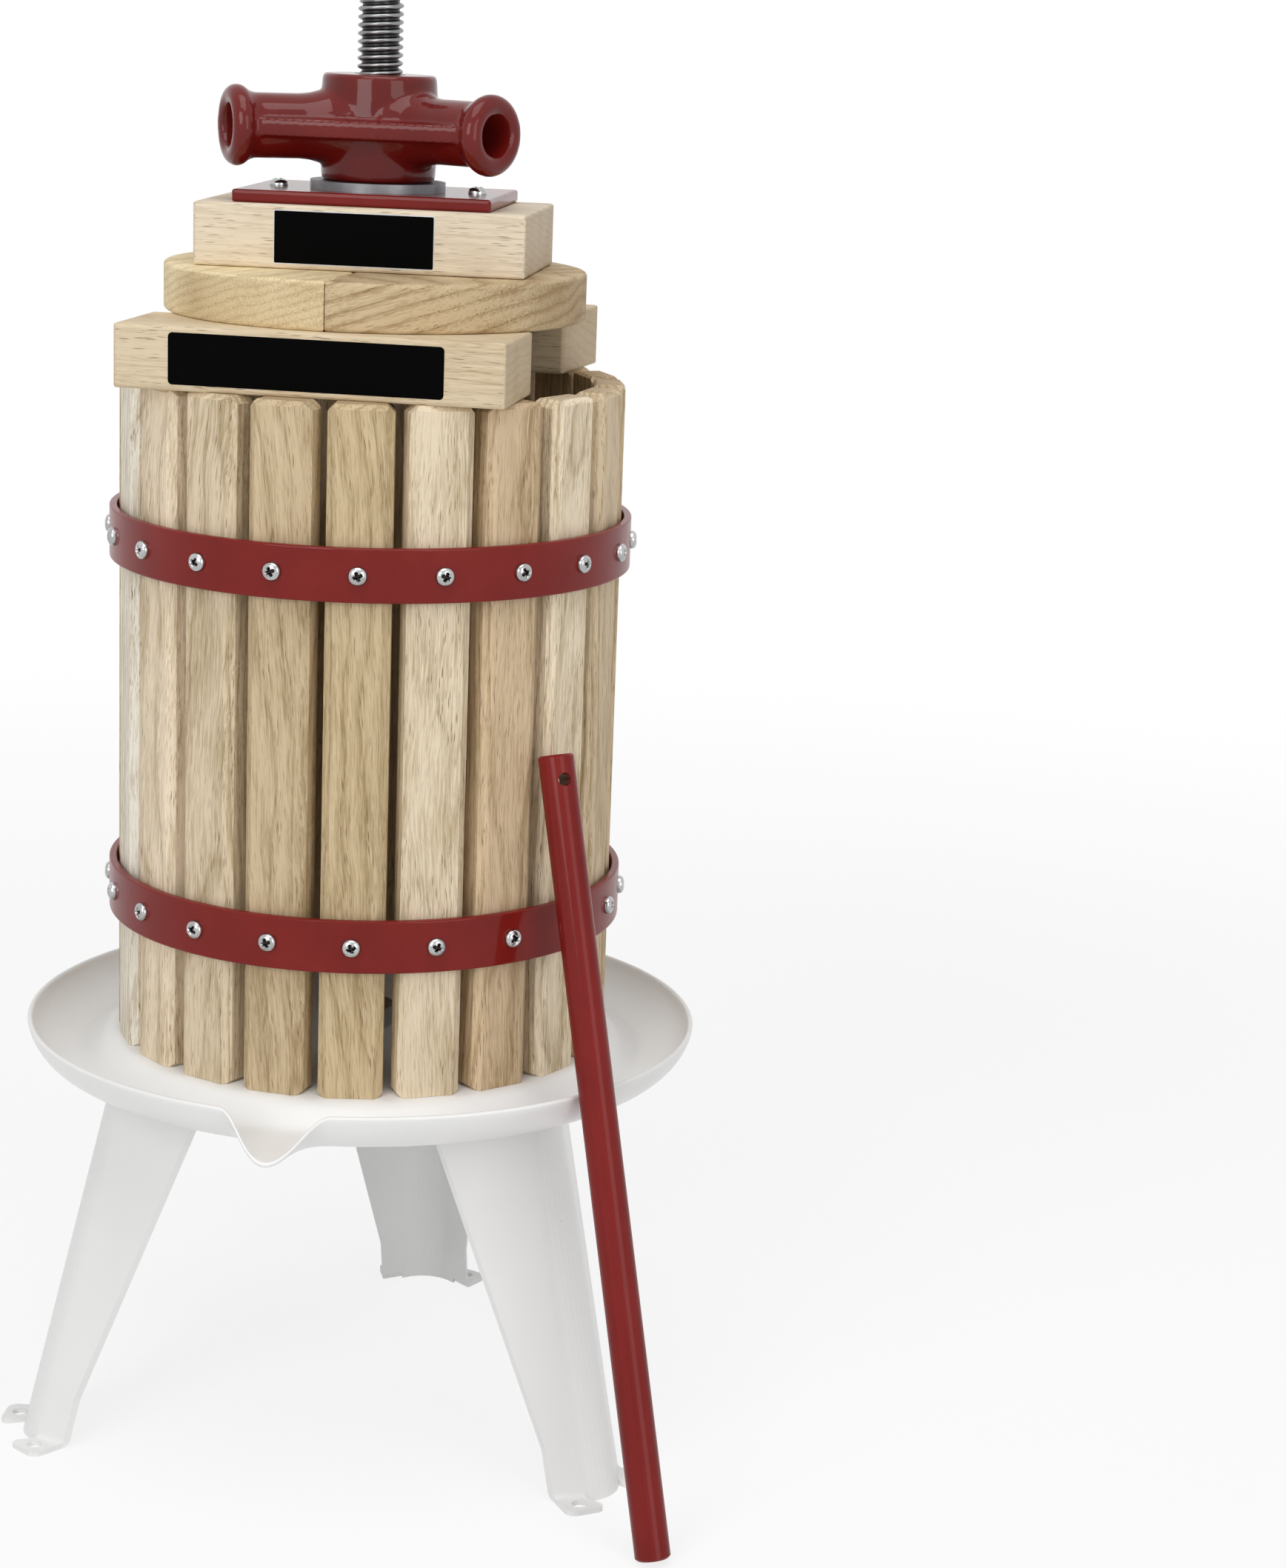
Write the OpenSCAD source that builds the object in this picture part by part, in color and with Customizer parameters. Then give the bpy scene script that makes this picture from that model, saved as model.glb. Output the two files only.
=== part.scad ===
/* [Spindle] */
// Outside diameter of the threaded spindle
spindle_d = 17; // [15:0.5:20]
// Height of the spindle's top above the floor
spindle_top_z = 560; // [545:1:620]
// Length of spindle that sticks out under the base nut
spindle_tail = 6; // [4:1:10]
// Chamfer at both ends of the spindle
spindle_chamfer = 1.5; // [0.8:0.1:2]
// Radial running clearance between spindle and press nut
thread_fit = 0.05; // [0.02:0.01:0.1]
// Radial clearance round the spindle in everything that only slides on it
spindle_gap = 1; // [0.5:0.1:2]

/* [Base fixing] */
// Width across flats of the two hexagon nuts
hex_flats = 24; // [22:0.5:30]
// Height of the nut under the tray
base_nut_h = 13; // [10:0.5:16]
// Height of the thinner nut on top of the tray
lock_nut_h = 8; // [6:0.5:12]
// Diameter of the stiffening washer under the tray
base_washer_d = 46; // [36:1:60]
// Thickness of that washer
base_washer_t = 3; // [2:0.5:5]

/* [Tray] */
// Height of the tray platform that the basket stands on
tray_z = 160.9; // [145:0.5:180]
// Outer radius of the tray rim
tray_rim_r = 132.1; // [126:0.5:140]
// How far the rim stands above the platform
tray_rim_rise = 5.3; // [3:0.1:12]
// Sheet thickness of the tray
tray_t = 2; // [1.5:0.1:3]
// Depth of the juice channel below the platform
channel_depth = 9.4; // [6:0.2:12]
// Radius of the deepest line of the juice channel
channel_r = 113.5; // [110:0.5:117]
// Width of the platform outside the basket
platform_margin = 0.8; // [0.5:0.1:2]
// Direction of the spout, counted from the front towards the right
spout_turn = -14; // [-40:1:40]
// Half the angle that the spout takes out of the rim
spout_half = 9.3; // [7:0.1:14]
// How far the spout lip stands out beyond the rim
spout_reach = 11; // [6:0.5:16]
// How far the spout lip lies below the channel
spout_drop = 0.6; // [0.2:0.1:3]

/* [Legs] */
// Sheet thickness of the legs
leg_t = 2; // [1.5:0.1:3]
// Angle between the spout and each front leg
leg_spread = 60; // [50:1:70]
// Distance from the axis to the sharp corner of a leg's V, at the floor
leg_foot_r = 141.6; // [135:0.5:148]
// Lean of the leg's corner from the vertical
leg_lean = 13.9; // [10:0.5:16]
// Half the angle between the two flanges, square to the leg
leg_half_angle = 50.8; // [46:0.5:58]
// Outside radius of the leg's bent corner
leg_corner_r = 17; // [12:0.5:20]
// Half width of the leg just above the foot
leg_foot_half_w = 19.3; // [17:0.2:22]
// Height up to which the leg keeps that width
leg_neck_h = 20; // [14:1:30]
// Half width of the leg under the tray
leg_top_half_w = 39.5; // [34:0.2:44]

/* [Feet] */
// Width of a tab at its outer end, square to its flange
tab_end_w = 12.9; // [11:0.1:14]
// Width of a tab at the notch
tab_mouth_w = 8.8; // [7.5:0.1:11]
// How much further out than the flange's edge the tab's outer corner lies
tab_end_flare = 5.6; // [0:0.2:8]
// Inside radius of the bend between flange and tab
tab_bend_r = 2; // [1.5:0.1:3]
// Corner radius at the inner end of a tab
tab_end_r = 4; // [2:0.5:6]
// Corner radius beside the notch
tab_notch_r = 2.5; // [1:0.5:4]
// Half width of the notch between a leg's two tabs, at the corner
notch_half_w = 9.8; // [9:0.1:11]
// Half width of that notch at its mouth
notch_mouth_half_w = 10.1; // [9:0.1:12]
// Diameter of the fixing holes
foot_hole_d = 6; // [4:0.5:7]
// Distance of a fixing hole from the leg's middle
foot_hole_s = 16; // [14:0.5:18]
// Distance of a fixing hole inwards from the line of the leg's sharp corner, along its middle
foot_hole_in = 6.4; // [4:0.2:9]

/* [Staves] */
// Number of staves
stave_n = 20; // [18:1:22]
// Length of a stave
stave_l = 259; // [240:1:300]
// Width of a stave
stave_w = 24; // [20:0.5:25.5]
// Thickness of a stave
stave_t = 12; // [10:0.5:14]
// Gap left under the staves and under the top block, which stand loose on what carries them
seat_gap = 0.1; // [0.05:0.05:0.4]
// Distance from the axis to a stave's outer face
stave_face_r = 96; // [92:0.5:99]
// Chamfer along a stave's two outer edges
stave_chamfer = 3; // [1.5:0.1:4]
// Chamfer along a stave's two inner edges
stave_inner_chamfer = 1; // [0.5:0.1:2]
// Corners cut off a stave's top end
stave_top_cut = 3; // [1:0.1:5]
// Corners cut off a stave's foot
stave_foot_cut = 1.5; // [0.5:0.1:3]
// Direction of the first stave, counted from the front towards the right
stave_turn = -2.7; // [-9:0.1:9]

/* [Hoops] */
// Width of a hoop
hoop_w = 20; // [16:0.5:25]
// Thickness of a hoop
hoop_t = 3; // [2:0.1:4]
// Gap between a hoop and the corners of the staves
hoop_fit = 0.8; // [0.3:0.1:1.5]
// Distance of the upper hoop's middle below the stave tops
upper_hoop_drop = 60.8; // [40:0.5:90]
// Distance of the lower hoop's middle above the platform
lower_hoop_rise = 59.8; // [40:0.5:64]
// Rounding of the hoop's edges
hoop_edge_r = 0.7; // [0.4:0.1:1]

/* [Pan head screws] */
// Shank diameter
screw_d = 3.5; // [3:0.1:4.5]
// Head diameter
screw_head_d = 7; // [6:0.1:8.5]
// Head height
screw_head_h = 2.5; // [1.8:0.1:3.5]
// How deep a screw bites into the wood
screw_bite = 9; // [7:0.5:9.5]
// Radial clearance of a screw in its pilot hole
screw_fit = 0.05; // [0.02:0.01:0.1]
// Radial clearance of a screw in metal
screw_clearance = 0.3; // [0.2:0.05:0.6]

/* [Lower blocks] */
// Length of a lower block
lower_block_l = 145; // [140:1:160]
// Depth of a lower block
lower_block_w = 46; // [40:1:50]
// Height of a lower block
lower_block_h = 23.5; // [20:0.5:28]
// Middle of the front block, to the right of the axis and behind it
front_block_at = [-18.4, -60]; // [-70:0.1:70]
// Turn of the front block
front_block_turn = -14; // [-20:0.5:0]
// Middle of the rear block, to the right of the axis and behind it
rear_block_at = [12.8, 62]; // [-70:0.1:70]
// Turn of the rear block
rear_block_turn = -20; // [-25:0.5:0]

/* [Half discs] */
// Radius of the two half discs
disc_r = 80; // [72:0.5:82]
// Thickness of the half discs
disc_t = 18; // [15:0.5:22]
// Gap between the half discs
disc_seam = 0.4; // [0.2:0.1:1.5]
// Chamfer along the edges of the seam
seam_chamfer = 0.8; // [0.4:0.1:1.5]
// Direction of the seam, counted from the front towards the right
disc_turn = -13.3; // [-20:0.5:0]

/* [Top block and pressure plate] */
// Length of the top block
top_block_l = 124.5; // [115:0.5:135]
// Depth of the top block
top_block_w = 75; // [72:0.5:84]
// Height of the top block
top_block_h = 23.5; // [20:0.5:28]
// Turn of the top block and of what is on it
top_block_turn = -10.6; // [-20:0.1:0]
// Rounding of all the wooden blocks
wood_edge_r = 1.5; // [0.8:0.1:2.5]
// Length of the pressure plate
plate_l = 97; // [90:0.5:105]
// Depth of the pressure plate
plate_w = 69; // [60:0.5:71]
// Thickness of the pressure plate
plate_t = 4.8; // [4:0.1:7]
// Rounding of the pressure plate
plate_edge_r = 1.4; // [0.8:0.1:1.8]
// Distance of the two plate screws from the axis
plate_screw_x = 38; // [34:0.5:42]
// Diameter of the thrust washer
washer_d = 51; // [47:0.5:60]
// Thickness of the thrust washer
washer_t = 3.2; // [2:0.1:4]

/* [Press nut] */
// Height of the cast nut
nut_h = 39.4; // [36:0.2:44]
// Hub radius at the two ends
hub_end_r = 21.4; // [20:0.1:22]
// Hub radius at the middle
hub_mid_r = 22.4; // [22.1:0.1:24]
// Radius of an arm
arm_r = 12; // [11:0.1:13]
// Radius of the bead round the mouth of a socket
bead_r = 15; // [14:0.1:16.5]
// Rounding radius of that bead
bead_round = 4.2; // [3.5:0.1:4.4]
// Distance from the axis to the mouth of a socket
socket_reach = 59.4; // [57:0.2:64]
// Diameter of a socket
socket_d = 15; // [14.5:0.1:16]
// Depth of a socket
socket_depth = 35; // [25:0.5:38]
// Distance from the axis to the straight edge of the web between two arms
web_reach = 36; // [30:0.5:38]
// Thickness of the web
web_t = 6.4; // [5:0.1:8]
// Direction of the first socket, counted from the front towards the right
nut_turn_angle = 47.5; // [0:0.5:119]

/* [Lever] */
// Diameter of the lever
lever_d = 13.5; // [12:0.1:14]
// Length of the lever
lever_l = 300; // [260:1:320]
// Cross hole near its head
lever_hole_d = 5; // [4:0.1:6]
// Distance of the cross hole from the head
lever_hole_in = 9.5; // [8:0.5:14]
// Direction that the cross hole faces, counted from the front towards the right
lever_hole_turn = 18; // [-30:1:60]
// Direction at which the lever touches the rim, counted from the front towards the right
lever_rim_turn = 38.8; // [34:0.1:44]
// Direction of the lever's head, counted from the front towards the right
lever_head_turn = 42.4; // [38:0.1:46]
// Gap left between the leaning lever and what it leans on
lever_rest = 0.3; // [0.2:0.1:0.5]
// Chamfer at both ends of the lever
lever_chamfer = 0.8; // [0.4:0.1:1.5]

/* [Hidden] */
$fn = 96;
leg_names = ["leg_front_left", "leg_front_right", "leg_rear"];
leg_turns = [spout_turn - leg_spread, spout_turn + leg_spread, spout_turn + 180];
function stave_name(i) = str("stave_", i < 9 ? "0" : "", i + 1);

// Colours
wood = "burlywood";
pale_wood = "wheat";
paint = "firebrick";
white_coat = "whitesmoke";
steel = "dimgray";
bright = "silver";

// Levels of the stack, from the tray upwards
stave_foot_z = tray_z + seat_gap;
stave_top_z = stave_foot_z + stave_l;
lower_block_top_z = stave_top_z + lower_block_h;
disc_top_z = lower_block_top_z + disc_t;
top_block_z = disc_top_z + seat_gap;
top_block_top_z = top_block_z + top_block_h;
plate_top_z = top_block_top_z + plate_t;
washer_top_z = plate_top_z + washer_t;
nut_mid_z = washer_top_z + nut_h / 2;

// Levels below the tray
tray_under_z = tray_z - tray_t;
base_washer_z = tray_under_z - base_washer_t;
base_nut_z = base_washer_z - base_nut_h;
spindle_foot_z = base_nut_z - spindle_tail;
spindle_r = spindle_d / 2;

// Radii round the basket
stave_corner_r = norm([stave_face_r, stave_w / 2 - stave_chamfer]);
hoop_in_r = stave_corner_r + hoop_fit;
hoop_out_r = hoop_in_r + hoop_t;
upper_hoop_z = stave_top_z - upper_hoop_drop;
lower_hoop_z = tray_z + lower_hoop_rise;
screw_l = hoop_out_r - stave_face_r + screw_bite;
platform_r = stave_corner_r + platform_margin;

// How far a joined piece is sunk into the face that it grows out of, so that no two faces coincide
join_inset = 0.04;
// Steps in a rounded corner of an outline, and in the bent corner of a leg
arc_steps = 4;
leg_corner_steps = 10;

function polar(r, turn) = [r * sin(turn), -r * cos(turn)];
function unit(v) = v / norm(v);
function reversed(v) = [for (i = [len(v) - 1 : -1 : 0]) v[i]];
function turn_between(a, b) = (b - a + 540) % 360 - 180;

// The arc that rounds corner c between its neighbours a and b
function corner_arc(a, c, b, r, steps = arc_steps) =
    let (
        to_a = unit(a - c),
        to_b = unit(b - c),
        half = acos(to_a * to_b) / 2,
        centre = c + unit(to_a + to_b) * r / sin(half),
        start = c + to_a * r / tan(half) - centre,
        stop = c + to_b * r / tan(half) - centre,
        first = atan2(start[1], start[0]),
        sweep = turn_between(first, atan2(stop[1], stop[0]))
    )
    [for (i = [0 : steps]) let (w = first + sweep * i / steps) centre + r * [cos(w), sin(w)]];

// An outline with each corner rounded by its own radius, where 0 leaves it sharp
function rounded_outline(points, radii, steps = arc_steps) =
    let (n = len(points))
    [for (i = [0 : n - 1]) each radii[i] > 0
        ? corner_arc(points[(i + n - 1) % n], points[i], points[(i + 1) % n], radii[i], steps)
        : [points[i]]];

function box_outline(w, h) = [[-w, -h] / 2, [w, -h] / 2, [w, h] / 2, [-w, h] / 2];
function rounded_box(w, h, r) = rounded_outline(box_outline(w, h), [r, r, r, r]);

// A rectangle standing on y = 0 with its four corners cut at 45 degrees
function cut_box(w, h, foot, top) = [
    [-w / 2 + foot, 0], [w / 2 - foot, 0], [w / 2, foot], [w / 2, h - top],
    [w / 2 - top, h], [-w / 2 + top, h], [-w / 2, h - top], [-w / 2, foot]
];

// A block centred on x and y, standing on z = 0, rounded along all twelve edges
module eased_block(l, w, h, r) {
    intersection() {
        linear_extrude(h) polygon(rounded_box(l, w, r));
        translate([0, w, h / 2]) rotate([90, 0, 0]) linear_extrude(2 * w) polygon(rounded_box(l, h, r));
        translate([-l, 0, h / 2]) rotate([90, 0, 90]) linear_extrude(2 * l) polygon(rounded_box(w, h, r));
    }
}

// A hexagon nut with chamfered corners and a plain bore, standing on z = 0
module hex_nut(h) {
    corner_r = hex_flats / sqrt(3);
    chamfer = corner_r - hex_flats / 2;
    difference() {
        intersection() {
            cylinder(h = h, r = corner_r, $fn = 6);
            rotate_extrude() polygon([
                [0, 0], [hex_flats / 2, 0], [corner_r + 0.1, chamfer / 2],
                [corner_r + 0.1, h - chamfer / 2], [hex_flats / 2, h], [0, h]
            ]);
        }
        translate([0, 0, -1]) cylinder(h = h + 2, r = spindle_r + thread_fit);
    }
}

// A pan head screw with its axis along z: the head sits on z = 0 and the shank goes down
module pan_screw(l) {
    head_r = screw_head_d / 2;
    rim_h = screw_head_h * 0.3;
    dome = [for (i = [0 : arc_steps * 2]) let (w = 90 * i / (arc_steps * 2))
        [head_r * cos(w), rim_h + (screw_head_h - rim_h) * sin(w)]];
    tip = screw_d / 2;
    rotate_extrude() polygon(concat(
        [[0, -l], [tip / 3, -l], [tip, -l + tip], [tip, 0], [head_r, 0]],
        [for (p = dome) if (p[0] > 0.01) p],
        [[0, screw_head_h]]
    ));
}

// Puts a child that points along z onto the basket, pointing outwards
module facing_out(turn, r, z) {
    rotate([0, 0, turn]) translate([0, -r, z]) rotate([90, 0, 0]) children();
}

module spindle() {
    l = spindle_top_z - spindle_foot_z;
    c = spindle_chamfer;
    color(steel) translate([0, 0, spindle_foot_z]) rotate_extrude() polygon([
        [0, 0], [spindle_r - c, 0], [spindle_r, c], [spindle_r, l - c], [spindle_r - c, l], [0, l]
    ]);
}

module base_nut() {
    color(bright) translate([0, 0, base_nut_z]) hex_nut(base_nut_h);
}

module lock_nut() {
    color(bright) translate([0, 0, tray_z]) hex_nut(lock_nut_h);
}

module base_washer() {
    color(bright) translate([0, 0, base_washer_z]) difference() {
        cylinder(h = base_washer_t, d = base_washer_d);
        translate([0, 0, -1]) cylinder(h = base_washer_t + 2, r = spindle_r + screw_clearance);
    }
}

// The tray's section, drawn from the platform outwards, and what becomes of it in the spout
channel_z = tray_z - channel_depth;
rim_edge_z = tray_z + tray_rim_rise - tray_t / 2;
wall_run = tray_rim_r - tray_t - channel_r;
wall_rise = rim_edge_z - channel_z;
wall_angle = 2 * atan(wall_rise / wall_run);
wall_round = wall_run / sin(wall_angle);
lip_run = tray_rim_r + spout_reach - tray_t / 2 - channel_r;
slope_steps = 6;
wall_steps = 8;

// Each station is [r, z, and the direction down through the sheet as dr, dz]
function slope_station(u) =
    let (
        run = channel_r - platform_r,
        steep = channel_depth * PI / 2 * sin(180 * u) / run,
        n = unit([-steep, -1])
    )
    [platform_r + run * u, tray_z - channel_depth * (1 - cos(180 * u)) / 2, n[0], n[1]];
function wall_station(u) =
    let (w = wall_angle * u)
    [channel_r + wall_round * sin(w), channel_z + wall_round * (1 - cos(w)), sin(w), -cos(w)];
function lip_station(u) = [channel_r + lip_run * u, channel_z - spout_drop * u, 0, -1];
function mixed(a, b, w) =
    let (m = a * (1 - w) + b * w, n = unit([m[2], m[3]]))
    [m[0], m[1], n[0], n[1]];
function stations(w) = concat(
    [for (i = [0 : slope_steps]) slope_station(i / slope_steps)],
    [for (i = [1 : wall_steps]) mixed(wall_station(i / wall_steps), lip_station(i / wall_steps), w)]
);
function through(s, depth) = [s[0] + s[2] * depth, s[1] + s[3] * depth];

function upper_line(w, inset) = [for (s = stations(w)) through(s, inset)];
function lower_line(w, inset) = [for (s = stations(w)) through(s, tray_t - inset)];
function rounded_edge(w, inset) =
    let (
        line = stations(w),
        edge = line[len(line) - 1],
        middle = through(edge, tray_t / 2),
        down = [edge[2], edge[3]],
        out = [-edge[3], edge[2]]
    )
    [for (a = [45, 90, 135]) middle + (tray_t / 2 - inset) * (out * sin(a) - down * cos(a))];
function spout_share(a) = abs(a) < spout_half ? (1 + cos(180 * a / spout_half)) / 2 : 0;

// The whole section of the plain tray, from its bore to its rim
tray_bore_r = spindle_r + screw_clearance;
plain_section = concat(
    [[tray_bore_r, tray_z]], upper_line(0, 0), rounded_edge(0, 0), reversed(lower_line(0, 0)),
    [[tray_bore_r, tray_under_z]]
);

// The section of the spout's part of the wall, w = 0 as the plain rim and 1 in the middle of the spout
function spout_section(w) =
    let (
        i = slope_steps,
        up = upper_line(w, join_inset),
        low = lower_line(w, join_inset),
        last = len(up) - 1
    )
    concat(
        [up[i - 1] * 0.3 + up[i] * 0.7],
        [for (k = [i : last]) up[k]],
        rounded_edge(w, join_inset),
        [for (k = [last : -1 : i]) low[k]],
        [low[i - 1] * 0.3 + low[i] * 0.7]
    );

// The spout's part of the wall, as rings of its section about the axis
module spout_wall() {
    steps = 20;
    overlap = 0.6;
    angles = [for (k = [0 : steps]) (spout_half + overlap) * (2 * k / steps - 1)];
    rings = [for (a = angles) spout_section(spout_share(a))];
    n = len(rings[0]);
    points = [for (k = [0 : steps]) for (p = rings[k]) [p[0] * cos(angles[k]), p[0] * sin(angles[k]), p[1]]];
    sides = [for (k = [0 : steps - 1]) for (i = [0 : n - 1])
        let (a = k * n + i, b = k * n + (i + 1) % n)
        each [[a, b + n, b], [a, a + n, b + n]]];
    tip = (n - 3) / 2;
    near_end = concat([for (i = [0 : tip - 1]) [i, i + 1, n - 2 - i, n - 1 - i]], [[tip, tip + 1, tip + 2]]);
    far_end = [for (f = near_end) [for (j = reversed(f)) steps * n + j]];
    polyhedron(points = points, faces = concat(sides, near_end, far_end), convexity = 6);
}

module tray() {
    mouth_r = channel_r - 0.4;
    color(white_coat) union() {
        difference() {
            rotate_extrude() polygon(plain_section);
            rotate([0, 0, spout_turn - 90 - spout_half]) rotate_extrude(angle = 2 * spout_half)
                translate([mouth_r, channel_z - tray_t * 2]) square([tray_rim_r, tray_z]);
        }
        rotate([0, 0, spout_turn - 90]) spout_wall();
    }
}

// A leg is drawn with x outwards through its corner and y across it
foot_hole_r = leg_foot_r - foot_hole_in;
leg_slope = tan(leg_lean);
flange_angle = atan(tan(leg_half_angle) * cos(leg_lean));
flange_lean = atan(leg_slope * sin(flange_angle));
tab_top_z = 5;
strip_top_z = tab_top_z + 1.2;
stub_top_z = tab_top_z + 3;

// The V section, square to the corner, with its sharp outer corner at the origin
module leg_section() {
    reach = leg_top_half_w * 1.4;
    along = [-cos(leg_half_angle), sin(leg_half_angle)];
    mirrored = [along[0], -along[1]];
    inner_tip = [-leg_t / sin(leg_half_angle), 0];
    polygon(rounded_outline(
        [along * reach, inner_tip + along * reach, inner_tip, inner_tip + mirrored * reach, mirrored * reach, [0, 0]],
        [0, 0, leg_corner_r - leg_t, 0, 0, leg_corner_r],
        leg_corner_steps
    ));
}

// The two flanges and the bent corner between heights z0 and z1, cut across to the outline that the leg shows
module leg_flanges(outline) {
    intersection() {
        translate([leg_foot_r, 0, 0]) rotate([0, -leg_lean, 0])
            translate([0, 0, -30]) linear_extrude(tray_z * 1.4) leg_section();
        rotate([90, 0, 90]) linear_extrude(leg_foot_r * 1.2) polygon(outline);
    }
}

// One flange's foot: a stub of the flange, the bend and the tab, in the section square to the flange
module leg_foot() {
    start_u = leg_foot_r * sin(flange_angle) - join_inset;
    face = function (z) start_u - z * tan(flange_lean);
    bend = [face(leg_t + tab_bend_r) + tab_bend_r / cos(flange_lean), leg_t + tab_bend_r];
    bend_angles = [for (i = [0 : arc_steps]) 180 + flange_lean + (90 - flange_lean) * i / arc_steps];
    inside = [for (a = bend_angles) bend + tab_bend_r * [cos(a), sin(a)]];
    outside = [for (a = reversed(bend_angles)) bend + (tab_bend_r + leg_t) * [cos(a), sin(a)]];
    reach = start_u + tab_end_w * 2;
    profile = concat(
        [[face(stub_top_z), stub_top_z]], inside, [[reach, leg_t], [reach, 0]], outside,
        [[face(stub_top_z) - leg_t / cos(flange_lean), stub_top_z]]
    );
    intersection() {
        rotate([0, 0, 90 - flange_angle]) rotate([90, 0, 0])
            translate([0, 0, -leg_foot_r]) linear_extrude(leg_foot_r * 2) polygon(profile);
        translate([0, 0, -1]) linear_extrude(stub_top_z + 2) polygon(tab_outline());
    }
}

// The plan of one tab, from the notch round to the outer end and back behind the bend
function tab_outline() =
    let (
        along = [-cos(flange_angle), sin(flange_angle)],
        across = [sin(flange_angle), cos(flange_angle)],
        edge_point = function (width, s)
            [leg_foot_r, 0] + across * width + along * (s - across[1] * width) / along[1],
        mouth = edge_point(tab_mouth_w, notch_mouth_half_w),
        corner = edge_point(tab_end_w, leg_foot_half_w + tab_end_flare),
        root = edge_point(0, leg_foot_half_w),
        back_r = root[0] - 4 * leg_t
    )
    rounded_outline(
        [[back_r, notch_half_w], mouth, corner, root, [back_r, leg_foot_half_w]],
        [0, tab_notch_r, tab_end_r, 0, 0]
    );

module leg(turn) {
    w0 = leg_foot_half_w;
    w1 = leg_top_half_w;
    h1 = leg_neck_h;
    flange_outline = [
        [-w0, tab_top_z], [w0, tab_top_z], [w0, h1], [w1, tray_under_z], [-w1, tray_under_z], [-w0, h1]
    ];
    n0 = notch_half_w + 2;
    color(white_coat) rotate([0, 0, turn - 90]) difference() {
        union() {
            leg_flanges(flange_outline);
            leg_flanges([[-n0, 0], [n0, 0], [n0, strip_top_z], [-n0, strip_top_z]]);
            leg_foot();
            mirror([0, 1, 0]) leg_foot();
        }
        for (side = [-1, 1]) translate([foot_hole_r, side * foot_hole_s, -1])
            cylinder(h = leg_t + 2, d = foot_hole_d);
    }
}

module leg_front_left() { leg(leg_turns[0]); }
module leg_front_right() { leg(leg_turns[1]); }
module leg_rear() { leg(leg_turns[2]); }

module stave(i) {
    plan = [
        [-stave_w / 2 + stave_chamfer, -stave_face_r],
        [stave_w / 2 - stave_chamfer, -stave_face_r],
        [stave_w / 2, -stave_face_r + stave_chamfer],
        [stave_w / 2, -stave_face_r + stave_t - stave_inner_chamfer],
        [stave_w / 2 - stave_inner_chamfer, -stave_face_r + stave_t],
        [-stave_w / 2 + stave_inner_chamfer, -stave_face_r + stave_t],
        [-stave_w / 2, -stave_face_r + stave_t - stave_inner_chamfer],
        [-stave_w / 2, -stave_face_r + stave_chamfer]
    ];
    side = [
        [-stave_face_r, 0], [-stave_face_r + stave_t, 0], [-stave_face_r + stave_t, stave_l - 1],
        [-stave_face_r + stave_t - 1, stave_l], [-stave_face_r + 2, stave_l], [-stave_face_r, stave_l - 2]
    ];
    turn = stave_turn + i * 360 / stave_n;
    color(i % 2 == 0 ? wood : pale_wood) difference() {
        rotate([0, 0, turn]) translate([0, 0, stave_foot_z]) intersection() {
            linear_extrude(stave_l) polygon(plan);
            rotate([90, 0, 0]) linear_extrude(stave_face_r + 1)
                polygon(cut_box(stave_w, stave_l, stave_foot_cut, stave_top_cut));
            translate([-stave_w, 0, 0]) rotate([90, 0, 90]) linear_extrude(2 * stave_w) polygon(side);
        }
        for (z = [lower_hoop_z, upper_hoop_z])
            facing_out(turn, stave_face_r - screw_bite - 0.5, z)
                cylinder(h = screw_bite + 1, r = screw_d / 2 + screw_fit);
    }
}

module hoop(z) {
    color(paint) difference() {
        translate([0, 0, z]) rotate_extrude() translate([hoop_in_r + hoop_t / 2, 0])
            polygon(rounded_box(hoop_t, hoop_w, hoop_edge_r));
        for (i = [0 : stave_n - 1])
            facing_out(stave_turn + i * 360 / stave_n, hoop_in_r - 2, z)
                cylinder(h = hoop_t + 4, r = screw_d / 2 + screw_clearance);
    }
}

module hoop_screws(z) {
    color(bright) for (i = [0 : stave_n - 1])
        facing_out(stave_turn + i * 360 / stave_n, hoop_out_r, z) pan_screw(screw_l);
}

module upper_hoop() { hoop(upper_hoop_z); }
module lower_hoop() { hoop(lower_hoop_z); }
module upper_hoop_screws() { hoop_screws(upper_hoop_z); }
module lower_hoop_screws() { hoop_screws(lower_hoop_z); }

module lower_block(at, turn) {
    color(wood) translate([at[0], at[1], stave_top_z]) rotate([0, 0, turn])
        eased_block(lower_block_l, lower_block_w, lower_block_h, wood_edge_r);
}

module lower_block_front() { lower_block(front_block_at, front_block_turn); }
module lower_block_rear() { lower_block(rear_block_at, rear_block_turn); }

// The half disc on the right of the seam, which runs along y
module half_disc() {
    x = disc_seam / 2;
    c = seam_chamfer;
    far = 2 * disc_r;
    difference() {
        intersection() {
            translate([0, 0, lower_block_top_z]) rotate_extrude() polygon(
                rounded_outline([[0, 0], [disc_r, 0], [disc_r, disc_t], [0, disc_t]],
                    [0, wood_edge_r, wood_edge_r, 0]));
            translate([0, disc_r + 1, lower_block_top_z]) rotate([90, 0, 0]) linear_extrude(far + 2) polygon([
                [x, c], [x + c + 1, -1], [far, -1], [far, disc_t + 1], [x + c + 1, disc_t + 1], [x, disc_t - c]
            ]);
        }
        translate([0, 0, lower_block_top_z - 1]) cylinder(h = disc_t + 2, r = spindle_r + spindle_gap);
    }
}

module half_disc_left() {
    color(wood) rotate([0, 0, disc_turn]) mirror([1, 0, 0]) half_disc();
}

module half_disc_right() {
    color(pale_wood) rotate([0, 0, disc_turn]) half_disc();
}

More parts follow.
